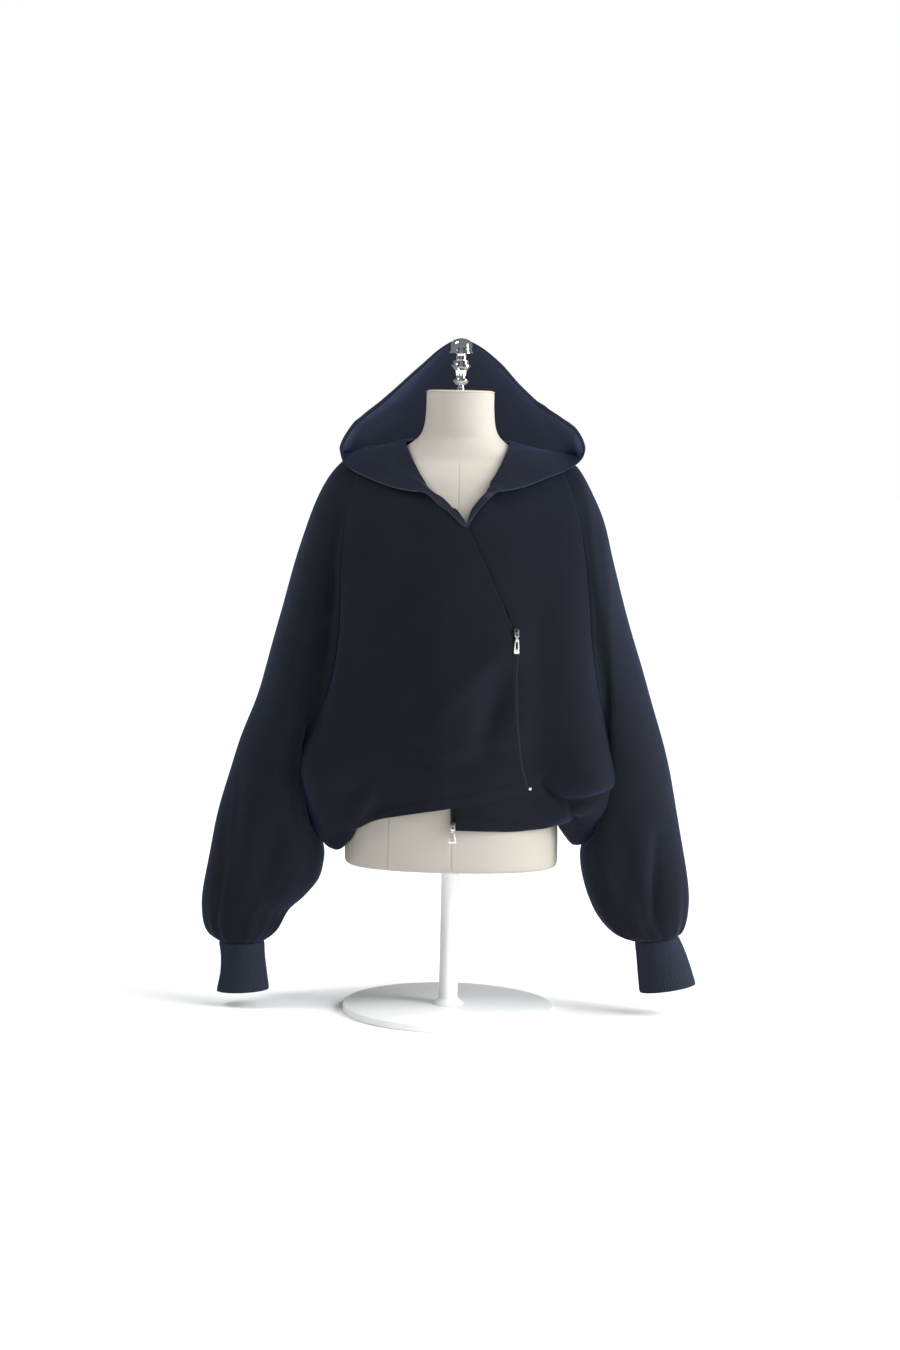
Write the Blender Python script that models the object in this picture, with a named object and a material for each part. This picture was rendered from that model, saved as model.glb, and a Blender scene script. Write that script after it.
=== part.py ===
"""Zip-up hoodie with a wrapped front, worn on a limbless dress form that stands on a short post.

The garment faces -Y, +X is the viewer's right and Z is up. The origin lies on the floor at the
axis of the stand. Sizes in the tables are millimetres, and every mesh is written in metres.

The body is lofted through rings from the neckline down to the hem. Each ring is cut into the
right front, the left front and the back, and leaves two deep armholes open. A sleeve is lofted
from its armhole to the cuff, and each hood half from its rim to the neck seam and the centre seam.
"""
import math
from collections import namedtuple

import bpy
from mathutils import Matrix, Vector

MM = 0.001
TURN = 2.0 * math.pi

# Cloth and seams
CLOTH = 2.0            # wall of the heavy jersey
SEAM = 0.2             # each piece stops this far short of a seam
LAP_LIFT = 4.6         # the right front lies this far above the left front where they lap
LAP_RAMP = (-42.0, -10.0)

# Body rings from the neckline to the hem. Heights at front, sides and back, then how far the
# ring reaches to the left, right, front and back of the axis.
BodyRing = namedtuple("BodyRing", "z_front z_side z_back left right front back")
BODY = [
    BodyRing(812, 915, 924, 86, 80, 112, 70),
    BodyRing(796, 909, 914, 106, 104, 119, 78),
    BodyRing(775, 902, 898, 130, 130, 127, 86),
    BodyRing(748, 894, 874, 154, 156, 133, 94),
    BodyRing(710, 852, 832, 198, 207, 140, 104),
    BodyRing(660, 782, 772, 212, 228, 148, 114),
    BodyRing(606, 706, 694, 213, 236, 153, 124),
    BodyRing(552, 626, 614, 212, 238, 155, 132),
    BodyRing(500, 548, 540, 220, 243, 154, 138),
    BodyRing(452, 474, 470, 232, 248, 148, 140),
    BodyRing(414, 404, 408, 241, 253, 139, 139),
    BodyRing(384, 350, 364, 228, 243, 130, 137),
    BodyRing(360, 306, 330, 222, 233, 123, 131),
    BodyRing(342, 281, 308, 206, 212, 118, 128),
    BodyRing(326, 275, 292, 193, 198, 117, 125),
    BodyRing(312, 290, 297, 181, 182, 116, 122),
]
ARMHOLE_TOP = 3        # ring where the armhole opens on the shoulder
ARMHOLE_END = 10       # ring where it closes under the arm
ROWS_PER_RING = 2      # rows of faces between two rings down to the armhole's end

# How far the armhole seam stands from the axis at each ring between its ends, left then right
ArmholeEdge = namedtuple("ArmholeEdge", "left right")
ARMHOLE = [
    ArmholeEdge(154, 156), ArmholeEdge(172, 184), ArmholeEdge(180, 198), ArmholeEdge(183, 206),
    ArmholeEdge(186, 212), ArmholeEdge(198, 220), ArmholeEdge(220, 233), ArmholeEdge(241, 253),
]

# Inner edge of each front: the slanted zip of the right front, the straight edge of the left one
EdgePoint = namedtuple("EdgePoint", "z x")
RIGHT_EDGE = [
    EdgePoint(340, 117), EdgePoint(384, 114), EdgePoint(420, 106), EdgePoint(458, 101),
    EdgePoint(522, 99), EdgePoint(582, 97), EdgePoint(624, 92), EdgePoint(648, 79),
    EdgePoint(686, 62), EdgePoint(746, 35), EdgePoint(789, 14), EdgePoint(808, 0),
    EdgePoint(826, -18), EdgePoint(834, -34), EdgePoint(841, -52),
]
LEFT_EDGE = [
    EdgePoint(300, 7), EdgePoint(345, 5), EdgePoint(560, 9), EdgePoint(740, 12),
    EdgePoint(786, 17), EdgePoint(816, 34), EdgePoint(838, 51),
]

# Height of each front's hem, by its distance from the axis
HemPoint = namedtuple("HemPoint", "x z")
RIGHT_HEM = [
    HemPoint(-181, 283), HemPoint(-168, 280), HemPoint(-158, 291),
    HemPoint(-149, 311), HemPoint(-110, 324), HemPoint(-55, 337), HemPoint(2, 349),
    HemPoint(60, 362), HemPoint(117, 375),
]
LEFT_HEM = [
    HemPoint(5, 311), HemPoint(60, 311), HemPoint(107, 310), HemPoint(138, 314),
    HemPoint(160, 316), HemPoint(172, 306), HemPoint(182, 292),
]
BACK_HEM = [
    HemPoint(-181, 283), HemPoint(-168, 279), HemPoint(-152, 292), HemPoint(-120, 300),
    HemPoint(0, 300), HemPoint(120, 306), HemPoint(150, 315), HemPoint(162, 314),
    HemPoint(172, 306), HemPoint(182, 292),
]
HEM = {"right": RIGHT_HEM, "left": LEFT_HEM, "lap": LEFT_HEM, "back": BACK_HEM}
HEM_REACH = 5.0        # rings above the hem over which its own line takes over
LEAST_ANGLE = math.radians(8)
SIDE_FADE = 0.35       # folds fade out this near to the side line
FRONT_COLUMNS = 15
BACK_COLUMNS = 17
FRONT_MIDDLE = (0.62, 0.88)  # shares of a turn between which the fronts' inner edges lie
CORNER_STEP = 3.0      # extra step where three pieces meet

# Soft folds in the fronts and the back, as lines that dent (depth < 0) or raise the cloth
Fold = namedtuple("Fold", "piece x_start z_start x_end z_end width depth")
BODY_FOLDS = [
    Fold("fronts", 84, 610, -30, 500, 34, 5.0),
    Fold("fronts", 66, 560, 50, 440, 26, -5.0),
    Fold("fronts", 10, 470, -60, 410, 34, 4.0),
    Fold("fronts", -66, 430, -40, 400, 22, -5.0),
    Fold("left", 140, 392, 166, 366, 11, -9.0),
    Fold("left", 166, 366, 240, 378, 11, -11.0),
    Fold("left", 180, 360, 196, 318, 11, -8.0),
    Fold("left", 172, 420, 220, 405, 22, 6.0),
    Fold("right", -148, 322, -112, 392, 16, 6.0),
    Fold("right", -176, 330, -168, 300, 20, 5.0),
    Fold("right", -200, 410, -150, 360, 26, 5.0),
    Fold("back", -150, 640, -40, 470, 40, -7.0),
    Fold("back", 150, 660, 50, 480, 40, -7.0),
    Fold("back", -30, 420, -120, 360, 30, 6.0),
    Fold("back", 60, 440, 150, 370, 30, 6.0),
    Fold("back", 0, 560, 6, 380, 34, -5.0),
]
FOLD_PIECES = {"left": ("left", "fronts"), "right": ("right", "fronts"), "lap": ("fronts",),
               "back": ("back",), "front": ("front",)}

# Sleeve rings below the armhole: inner and outer end as seen from the front, then how far the
# ring reaches to the front and to the back
SleeveRing = namedtuple("SleeveRing", "x_in z_in x_out z_out front back")
ARMHOLE_IDEAL = {"left": SleeveRing(241, 404, 154, 894, 78, 70),
                 "right": SleeveRing(253, 404, 156, 894, 78, 70)}
SLEEVE = {
    "left": [
        SleeveRing(249, 394, 169, 892, 86, 80),
        SleeveRing(251, 380, 187, 880, 94, 92),
        SleeveRing(248, 361, 208, 853, 98, 102),
        SleeveRing(242, 339, 229.5, 809, 99, 108),
        SleeveRing(235, 317, 252.5, 739, 98, 112),
        SleeveRing(227.5, 297, 280, 637, 95, 113),
        SleeveRing(213, 277, 311, 520, 91, 110),
        SleeveRing(205, 259, 343, 430, 86, 104),
        SleeveRing(205.5, 237, 368, 346, 79, 96),
        SleeveRing(213, 211, 387, 256, 70, 86),
        SleeveRing(234, 185, 397, 188, 60, 75),
        SleeveRing(260, 161, 396, 146, 50, 63),
        SleeveRing(278, 129, 388, 121, 41, 50),
        SleeveRing(300, 108.5, 371.5, 107.5, 33, 40),
    ],
    "right": [
        SleeveRing(260, 394, 172, 889.5, 86, 80),
        SleeveRing(262, 380, 189, 878, 94, 92),
        SleeveRing(259, 361, 209, 845, 98, 102),
        SleeveRing(253, 341, 232, 795, 99, 108),
        SleeveRing(245.5, 321, 250, 727, 98, 112),
        SleeveRing(237, 303, 275, 636, 95, 113),
        SleeveRing(222, 286, 307, 536, 91, 110),
        SleeveRing(210, 270, 334, 450, 86, 104),
        SleeveRing(208, 253, 356.5, 356, 79, 96),
        SleeveRing(212, 226, 371.5, 275, 70, 86),
        SleeveRing(223.5, 192, 383, 205, 60, 75),
        SleeveRing(242, 158, 383, 165, 50, 63),
        SleeveRing(268, 132, 377, 139, 41, 50),
        SleeveRing(300, 121, 369, 131, 33, 40),
    ],
}
SLEEVE_STEPS = [0.0, 0.5, 1.0]     # rows of faces near the armhole, then one for each ring
BODY_TURN = 0.08                   # small turn from the armhole seam into the body
BLEND_RINGS = (0.62, 0.30, 0.10)   # how much of the armhole's own line the next rings keep
SLEEVE_MIDDLE = 6.0                # the sleeves hang this far behind the axis
SLEEVE_FOLDS = {
    "left": [
        Fold("front", -344, 382, -372, 140, 15, -7.0),
        Fold("front", -296, 470, -330, 300, 30, 5.0),
        Fold("front", -268, 330, -300, 190, 22, -5.0),
        Fold("front", -246, 300, -262, 210, 18, 5.0),
        Fold("back", -300, 520, -340, 260, 24, -8.0),
        Fold("back", -250, 620, -290, 330, 30, 6.0),
    ],
    "right": [
        Fold("front", 330, 300, 326, 140, 16, -6.0),
        Fold("front", 300, 470, 330, 320, 30, 4.0),
        Fold("front", 262, 300, 300, 190, 22, -5.0),
        Fold("front", 240, 300, 262, 200, 18, 4.0),
        Fold("back", 296, 540, 336, 280, 24, -8.0),
        Fold("back", 250, 640, 290, 350, 30, 6.0),
    ],
}
GATHERS = 7            # soft gathers where the sleeve is sewn to the cuff
GATHER_DEPTH = 2.2
GATHER_RINGS = 4.0

# Cuffs: inner and outer end of each ring, then its reach to front and back
CUFF_SIDES = 24
CUFF = {
    "left": [
        SleeveRing(300, 106.9, 370.5, 105.9, 30, 35),
        SleeveRing(299, 84, 367, 83, 29, 33),
        SleeveRing(295.5, 57, 367.5, 54, 29, 32),
        SleeveRing(291.5, 29, 373, 24, 31, 34),
    ],
    "right": [
        SleeveRing(301.5, 119.3, 368.5, 129.3, 30, 35),
        SleeveRing(305, 93, 380, 105, 29, 33),
        SleeveRing(308, 65, 390.5, 77, 29, 32),
        SleeveRing(311.5, 36, 399, 51, 31, 34),
    ],
}

# Hood halves. Each row runs from the rim over the hollow of the hood towards its inner edge. Up to
# the nape that edge is the neck seam, at the given angle of the neckline. From there to the peak
# it is the centre seam, with the given reach back and height.
HoodRow = namedtuple("HoodRow", "rim roll hollow under neck_angle seam_y seam_z")
HOOD = {
    "left": [
        HoodRow((-50, -109, 839), (-49, -108, 840), (-48, -106, 841), (-47, -104, 841), 240, 0, 0),
        HoodRow((-77, -101, 840), (-74, -101, 843), (-68, -98, 848), (-61, -95, 853), 232, 0, 0),
        HoodRow((-108, -90, 846), (-105, -89, 850), (-95, -85, 859), (-80, -81, 866), 223, 0, 0),
        HoodRow((-148, -66, 860), (-146, -65, 865), (-132, -57, 881), (-104, -45, 897), 210, 0, 0),
        HoodRow((-175, -44, 874), (-177, -35, 882), (-164, -12, 899), (-122, -16, 908), 193, 0, 0),
        HoodRow((-184.5, -34, 889), (-186.5, -12, 898), (-178, 34, 894), (-138, 44, 901), 165, 0, 0),
        HoodRow((-185.5, -22, 905), (-186.5, 6, 910), (-177, 68, 898), (-130, 92, 888), 130, 0, 0),
        HoodRow((-172.5, -10, 931), (-173.5, 20, 932), (-162, 92, 909), (-112, 134, 880), 90, 0, 0),
        HoodRow((-151, -2, 953), (-153, 28, 955), (-145, 104, 925), (-98, 156, 872), None, 116, 878),
        HoodRow((-124, 6, 975), (-126, 35, 977), (-123, 112, 945), (-84, 172, 884), None, 164, 850),
        HoodRow((-93, 13, 1005), (-95, 40, 1006), (-94, 112, 976), (-65, 172, 930), None, 191, 888),
        HoodRow((-62, 20, 1034), (-64, 44, 1035), (-66, 104, 1010), (-46, 154, 980), None, 182, 952),
        HoodRow((-35, 25, 1061), (-37, 45, 1060), (-37, 88, 1043), (-27, 124, 1026), None, 148, 1012),
        HoodRow((-15, 29, 1078), (-16, 42, 1078), (-16, 64, 1070), (-10, 84, 1063), None, 98, 1058),
        HoodRow((-2, 32, 1084), (-3, 35, 1084), (-3, 39, 1083), (-2, 43, 1082), None, 47, 1080),
    ],
    "right": [
        HoodRow((57, -109, 840), (56, -108, 841), (55, -106, 842), (54, -104, 842), 300, 0, 0),
        HoodRow((75, -102, 843), (73, -102, 846), (69, -99, 850), (63, -96, 855), 307, 0, 0),
        HoodRow((103, -93, 850), (100, -92, 854), (91, -88, 862), (77, -83, 869), 316, 0, 0),
        HoodRow((142, -70, 865), (141, -69, 870), (128, -59, 884), (100, -47, 899), 330, 0, 0),
        HoodRow((173, -50, 879), (176, -40, 886), (166, -14, 900), (122, -16, 908), 347, 0, 0),
        HoodRow((192, -40, 895), (195, -18, 902), (187, 30, 896), (140, 42, 902), 375, 0, 0),
        HoodRow((195, -27, 913), (197, 2, 917), (187, 64, 902), (132, 90, 890), 410, 0, 0),
        HoodRow((182, -13, 939), (184, 18, 939), (173, 90, 914), (114, 134, 882), 450, 0, 0),
        HoodRow((156, -5, 956), (158, 26, 956), (150, 103, 927), (98, 156, 872), None, 116, 878),
        HoodRow((126.5, 4, 973), (128.5, 34, 974), (126, 112, 944), (84, 172, 884), None, 164, 850),
        HoodRow((94.5, 12, 1003), (96.5, 40, 1003), (96, 112, 974), (65, 172, 930), None, 191, 888),
        HoodRow((65, 20, 1036), (67, 44, 1035), (67, 104, 1008), (46, 154, 980), None, 182, 952),
        HoodRow((36, 25, 1062), (38, 45, 1061), (38, 88, 1042), (27, 124, 1026), None, 148, 1012),
        HoodRow((15, 29, 1078), (16, 42, 1078), (16, 64, 1070), (10, 84, 1063), None, 98, 1058),
        HoodRow((2, 32, 1084), (3, 35, 1084), (3, 39, 1083), (2, 43, 1082), None, 47, 1080),
    ],
}
YOKE_RINGS = 5         # the hood rests on the body down to this ring
HOOD_CLEARANCE = 4.4
HOOD_EDGE = 3.0        # the hood's neck edge lies this far off the neckline
HOOD_ROWS = 22
HOOD_COLUMNS = 11

# Dress form rings: height, half width, reach to front and to back
FormRing = namedtuple("FormRing", "z half front back")
FORM = [
    FormRing(240, 159, 96, 96), FormRing(241.5, 167, 104, 105), FormRing(248, 170.5, 108, 109),
    FormRing(268, 171, 110, 112), FormRing(310, 170, 110, 113), FormRing(360, 165, 108, 111),
    FormRing(430, 150, 101, 101), FormRing(500, 125, 92, 86), FormRing(550, 117, 92, 80),
    FormRing(610, 130, 104, 86), FormRing(680, 150, 124, 92), FormRing(720, 158, 127, 93),
    FormRing(770, 166, 114, 92), FormRing(820, 172, 98, 88), FormRing(855, 170, 84, 79),
    FormRing(874, 154, 72, 68), FormRing(888, 124, 63, 59), FormRing(901, 98.2, 58.9, 55.6),
    FormRing(913, 78.3, 55.8, 53.6), FormRing(925, 64, 53, 51), FormRing(940, 57, 53, 50),
    FormRing(965, 54, 52, 50), FormRing(992, 53.5, 52, 50), FormRing(996, 53, 51, 49),
    FormRing(998, 50, 48, 46),
]
FORM_SIDES = 28
FORM_SQUARENESS = 0.88
FORM_SHOULDER = 830.0  # the form's oval is squarer below this height
FORM_TOP = 998.0
FORM_BOTTOM = 240.0

# Finial on the neck: radius and height above the neck plate
FINIAL = [
    (7.4, 0.3), (7.4, 4.5), (5.9, 5.6), (5.9, 8.6), (9.2, 10.4), (13.4, 15.2), (13.4, 17.4),
    (9.4, 19.0), (8.9, 21.0), (11.2, 31.6), (13.4, 33.6), (17.5, 37.0), (17.5, 40.2),
    (13.8, 41.4), (13.8, 46.8), (9.6, 48.8), (9.6, 54.6), (15.4, 56.6), (19.6, 58.2),
    (19.6, 60.8), (17.2, 62.6), (17.2, 72.6), (16.4, 75.4), (12.6, 79.4), (6.6, 81.8), (0.0, 82.6),
]
FINIAL_SIDES = 16

# Stand
BASE_RADIUS = 170.0
BASE_HEIGHT = 12.0
BASE_CHAMFER = 2.0
POST_RADIUS = 15.0
FOOT_RADIUS = 25.2     # the post widens to this at its foot
FOOT_HEIGHT = 9.0
COLLAR_RADIUS = 36.0   # and to a plate under the form
COLLAR_HEIGHT = 10.0
COLLAR_SLOPE = 2.0
STAND_SIDES = 40
TOUCH = 0.3            # gap where two hard pieces touch

# Zips
TAPE = 1.0             # thickness of a zip tape
TAPE_INSIDE = 6.0      # the slanted tape's reach under the right front
TAPE_OUTSIDE = 8.4     # and beyond its edge
EDGE_TAPE = 8.0        # width of the tape along the left front's free edge
TAPE_LOW = 373.0       # heights between which the slanted zip runs
TAPE_HIGH = 818.0
TAPE_ROWS = 22
TAPE_SHOWN = 792.0     # above this height the hood covers its last rows
EDGE_TAPE_LOW = 313.0
EDGE_TAPE_HIGH = 770.0
EDGE_TAPE_ROWS = 16
EDGE_TAPE_GAP = 0.4
SLIDER_WIDTH = 8.4
SLIDER_HEIGHT = 12.0
SLIDER_DEPTH = 3.4
CROWN_WIDTH = 1.8      # the bail that the pull hangs on
CROWN_GAP = 1.9
CROWN_REACH = 3.2
PIN_RADIUS = 0.55
PULL_THICKNESS = 1.1
PullSize = namedtuple("PullSize", "length top_width bottom_width neck_width window_top window_bottom"
                      " window_width")
UPPER_PULL = PullSize(33.0, 6.4, 8.6, 3.4, 15.0, 8.0, 3.6)
LOWER_PULL = PullSize(28.0, 7.0, 12.6, 3.4, 11.0, 4.0, 4.6)
STOP_SIZE = (4.0, 2.0, 5.6)
STOP_GAP = 1.8
STOP_REACH = 6.2       # middle of the stop beyond the right front's edge
STOP_HEIGHT = 381.0
TAPE_LIFT = 0.5        # the slanted tape's gap to the left front
SLIDER_SEAT = 0.8      # a slider's gap to the cloth behind it
UPPER_SLIDER_HEIGHT = 626.0
LOWER_SLIDER_HEIGHT = 320.0
BAIL_WIRE = 1.1
BAIL_SINK = 0.5
EYE_END = -6.6
Seat = namedtuple("Seat", "place turn")

Finish = namedtuple("Finish", "colour roughness metallic")
NAVY_JERSEY = Finish((0.016, 0.020, 0.030), 0.85, 0.0)
CUFF_RIB = Finish((0.022, 0.028, 0.042), 0.88, 0.0)
ZIP_TAPE = Finish((0.012, 0.014, 0.020), 0.8, 0.0)
NICKEL = Finish((0.60, 0.60, 0.60), 0.25, 1.0)
CHROME = Finish((0.75, 0.75, 0.74), 0.12, 1.0)
LINEN = Finish((0.74, 0.70, 0.62), 0.9, 0.0)
STAND_PAINT = Finish((0.70, 0.70, 0.69), 0.45, 0.0)


def clear_scene():
    for item in list(bpy.data.objects):
        bpy.data.objects.remove(item)


def material(name, finish):
    found = bpy.data.materials.get(name)
    if found:
        return found
    made = bpy.data.materials.new(name)
    made.use_nodes = True
    shader = made.node_tree.nodes["Principled BSDF"]
    shader.inputs["Base Color"].default_value = (*finish.colour, 1.0)
    shader.inputs["Roughness"].default_value = finish.roughness
    shader.inputs["Metallic"].default_value = finish.metallic
    return made


def add_mesh(name, points, faces, finish, place=Vector((0, 0, 0)), crease=None):
    """Adds one named object. Points are millimetres, measured from place."""
    mesh = bpy.data.meshes.new(name)
    mesh.from_pydata([(Vector(p) - place) * MM for p in points], [], faces)
    mesh.materials.append(material(finish[0], finish[1]))
    mesh.shade_smooth()
    if crease:
        mesh.set_sharp_from_angle(angle=math.radians(crease))
    piece = bpy.data.objects.new(name, mesh)
    piece.location = place * MM
    bpy.context.collection.objects.link(piece)
    return piece


def add_cloth(name, points, faces, finish, thickness=CLOTH):
    """Adds a panel as a wall that is centred on the given surface."""
    piece = add_mesh(name, points, faces, finish)
    wall = piece.modifiers.new("wall", "SOLIDIFY")
    wall.thickness = thickness * MM
    wall.offset = 0.0
    wall.use_even_offset = True
    wall.use_quality_normals = True
    return piece


# ---------------------------------------------------------------------------- curves and rings

def between(values, place):
    """Smooth value at a place along a list of numbers that are one apart."""
    last = len(values) - 1
    place = min(max(place, 0.0), float(last))
    index = min(int(place), last - 1)
    part = place - index
    here, there = values[index], values[index + 1]
    before = values[index - 1] if index > 0 else 2 * here - there
    after = values[index + 2] if index + 2 <= last else 2 * there - here
    slope_here = (there - before) / 2
    slope_there = (after - here) / 2
    square, cube = part * part, part ** 3
    return ((2 * cube - 3 * square + 1) * here + (cube - 2 * square + part) * slope_here
            + (3 * square - 2 * cube) * there + (cube - square) * slope_there)


def ring_at(rings, place):
    """Smooth row of a table at a fractional row number."""
    columns = zip(*rings)
    return type(rings[0])(*[between(list(column), place) for column in columns])


def step(low, high, value):
    part = min(max((value - low) / (high - low), 0.0), 1.0)
    return part * part * (3 - 2 * part)


def read_line(rows, value):
    """Second column of a table at a value of its first column, with soft corners."""
    keys = [row[0] for row in rows]
    if keys[0] > keys[-1]:
        rows = rows[::-1]
        keys = keys[::-1]
    value = min(max(value, keys[0]), keys[-1])
    index = 0
    while index < len(keys) - 2 and value > keys[index + 1]:
        index += 1
    part = (value - keys[index]) / (keys[index + 1] - keys[index])
    return between([row[1] for row in rows], index + part)


def body_point(place, angle):
    """Point of the body at a ring number and an angle: 0 is right, 90 back, 180 left, 270 front."""
    ring = ring_at(BODY, place)
    across, along = math.cos(angle), math.sin(angle)
    half = ring.right if across > 0 else ring.left
    depth = ring.back if along > 0 else ring.front
    end = ring.z_back if along > 0 else ring.z_front
    height = ring.z_side + (end - ring.z_side) * along * along
    return Vector((half * across, depth * along, height))


def outward(place, angle):
    """Direction out of the body's surface at a ring number and an angle."""
    last = len(BODY) - 1
    down = body_point(min(place + 0.1, last), angle) - body_point(max(place - 0.1, 0), angle)
    around = body_point(place, angle + 0.02) - body_point(place, angle - 0.02)
    return down.cross(around).normalized()


def angle_at_x(place, x, back=False):
    """Angle at which a ring's front or back stands x to the side."""
    ring = ring_at(BODY, place)
    half = ring.right if x > 0 else ring.left
    angle = math.acos(min(max(x / half, -1.0), 1.0))
    return angle if back else TURN - angle


def fold_depth(folds, piece, x, z):
    """How far the folds of a piece move the cloth out at a place seen from the front."""
    total = 0.0
    for fold in folds:
        if fold.piece not in FOLD_PIECES[piece]:
            continue
        run = Vector((fold.x_end - fold.x_start, fold.z_end - fold.z_start))
        away = Vector((x - fold.x_start, z - fold.z_start))
        part = min(max(away.dot(run) / run.length_squared, 0.0), 1.0)
        distance = (away - run * part).length
        strength = 0.55 + 0.45 * math.sin(math.pi * part)
        total += fold.depth * strength * math.exp(-(distance / fold.width) ** 2)
    return total


def body_dent(piece, place, angle):
    """How far a body piece's folds move a point. They fade out towards the side line."""
    point = body_point(place, angle)
    fade = step(0.0, SIDE_FADE, abs(math.sin(angle)))
    return fade * fold_depth(BODY_FOLDS, piece, point.x, point.z)


def setback(corner, seam_line, own, other):
    """Step from a seam corner into a piece, so that its wall clears the wall of the other piece."""
    seam_line = seam_line.normalized()
    into_own = own - corner
    into_own = (into_own - seam_line * into_own.dot(seam_line)).normalized()
    into_other = other - corner
    into_other = (into_other - seam_line * into_other.dot(seam_line)).normalized()
    half_angle = max(into_own.angle(into_other) / 2, LEAST_ANGLE)
    return into_own * (SEAM + CLOTH / 2 * math.cos(half_angle)) / math.sin(half_angle)


def grid_faces(rows, columns, closed=False):
    """Faces of a grid of points that is written row by row. Closed rows meet themselves."""
    faces = []
    steps = columns if closed else columns - 1
    for row in range(rows - 1):
        for column in range(steps):
            a = row * columns + column
            b = row * columns + (column + 1) % columns
            faces.append((a, b, b + columns, a + columns))
    return faces


# ---------------------------------------------------------------------------- body of the hoodie

def body_places():
    """Ring numbers of the rows of faces."""
    fine = [row / ROWS_PER_RING for row in range(ARMHOLE_END * ROWS_PER_RING)]
    return fine + [float(ring) for ring in range(ARMHOLE_END, len(BODY))]


def side_angle(place, side, back=False):
    """Angle where a body piece ends: the armhole between its ends, the side line elsewhere."""
    turn = math.pi if side == "left" else (0.0 if back else TURN)
    if place <= ARMHOLE_TOP or place >= ARMHOLE_END:
        return turn
    column = [getattr(edge, side) for edge in ARMHOLE]
    x = between(column, place - ARMHOLE_TOP)
    return angle_at_x(place, -x if side == "left" else x, back)


def edge_angle(place, edge):
    """Angle where a ring crosses the inner edge of a front."""
    low, high = (TURN * share for share in FRONT_MIDDLE)
    for _ in range(40):
        middle = (low + high) / 2
        point = body_point(place, middle)
        if point.x < read_line(edge, point.z):
            low = middle
        else:
            high = middle
    return (low + high) / 2


def hem_shift(place, angle, hem):
    """How far a front's own hem line moves its lowest rings up or down."""
    last = len(BODY) - 1
    start = last - HEM_REACH
    if place <= start:
        return 0.0
    top = body_point(start, angle).z
    end = body_point(last, angle)
    stretch = (read_line(hem, end.x) - top) / (end.z - top)
    return (body_point(place, angle).z - top) * (stretch - 1)


def piece_point(piece, place, angle, lift=0.0):
    """Point of the right front, the left front or the back, lifted off its own surface."""
    point = body_point(place, angle)
    point.z += hem_shift(place, angle, HEM[piece])
    return point + outward(place, angle) * (body_dent(piece, place, angle) + lift)


def on_front(piece, x, z, lift):
    """Point of a front at a height, straight above or below x."""
    low, high = 0.0, float(len(BODY) - 1)
    for _ in range(30):
        middle = (low + high) / 2
        if piece_point(piece, middle, angle_at_x(middle, x)).z > z:
            low = middle
        else:
            high = middle
    return piece_point(piece, low, angle_at_x(low, x), lift)


def right_front_row(place):
    start = side_angle(place, "left")
    end = edge_angle(place, RIGHT_EDGE)
    hem_start = len(BODY) - 1 - HEM_REACH
    row = []
    for column in range(FRONT_COLUMNS):
        angle = start + (end - start) * column / (FRONT_COLUMNS - 1)
        point = piece_point("right", place, angle)
        lap = step(*LAP_RAMP, point.x)
        if lap > 0:
            if place > hem_start:
                top = body_point(hem_start, angle).z
                part = (place - hem_start) / HEM_REACH
                point.z += lap * (top + (read_line(RIGHT_HEM, point.x) - top) * part - point.z)
            point = point.lerp(on_front("lap", point.x, point.z, LAP_LIFT), lap)
        row.append(point)
    return row


def left_front_row(place):
    start = edge_angle(place, LEFT_EDGE)
    end = side_angle(place, "right")
    return [piece_point("left", place, start + (end - start) * column / (FRONT_COLUMNS - 1))
            for column in range(FRONT_COLUMNS)]


def back_row(place):
    start = side_angle(place, "right", back=True)
    end = side_angle(place, "left", back=True)
    return [piece_point("back", place, start + (end - start) * column / (BACK_COLUMNS - 1))
            for column in range(BACK_COLUMNS)]


def line_direction(line, index):
    return line[min(index + 1, len(line) - 1)] - line[max(index - 1, 0)]


def seam_steps(places, edge, next_column, other_next, sleeve_next):
    """Steps that pull the side edge of a body piece back from the pieces sewn to it."""
    steps = []
    for index, place in enumerate(places):
        along = line_direction(edge, index)
        if ARMHOLE_TOP < place < ARMHOLE_END:
            move = setback(edge[index], along, next_column[index], sleeve_next[index])
        else:
            move = setback(edge[index], along, next_column[index], other_next[index])
            if place == ARMHOLE_TOP:
                move += (edge[index - 1] - edge[index]).normalized() * CORNER_STEP
            if place == ARMHOLE_END:
                move += (edge[index + 1] - edge[index]).normalized() * CORNER_STEP
        steps.append(move)
    return steps


def sleeve_neighbours(side, back):
    """First sleeve point beyond the armhole, for each row of the body."""
    first = SLEEVE_ROWS[side][1]
    top = ARMHOLE_TOP * ROWS_PER_RING
    found = []
    for row in range(len(body_places())):
        index = min(max(row - top, 0), len(first) // 2)
        found.append(first[-index % len(first) if back else index])
    return found


def add_body_piece(name, rows, left_steps, right_steps):
    for row, left_step, right_step in zip(rows, left_steps, right_steps):
        row[0] += left_step
        row[-1] += right_step
    points = [point for row in rows for point in row]
    faces = grid_faces(len(rows), len(rows[0]))
    add_cloth(name, points, faces, ("navy_jersey", NAVY_JERSEY))


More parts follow.
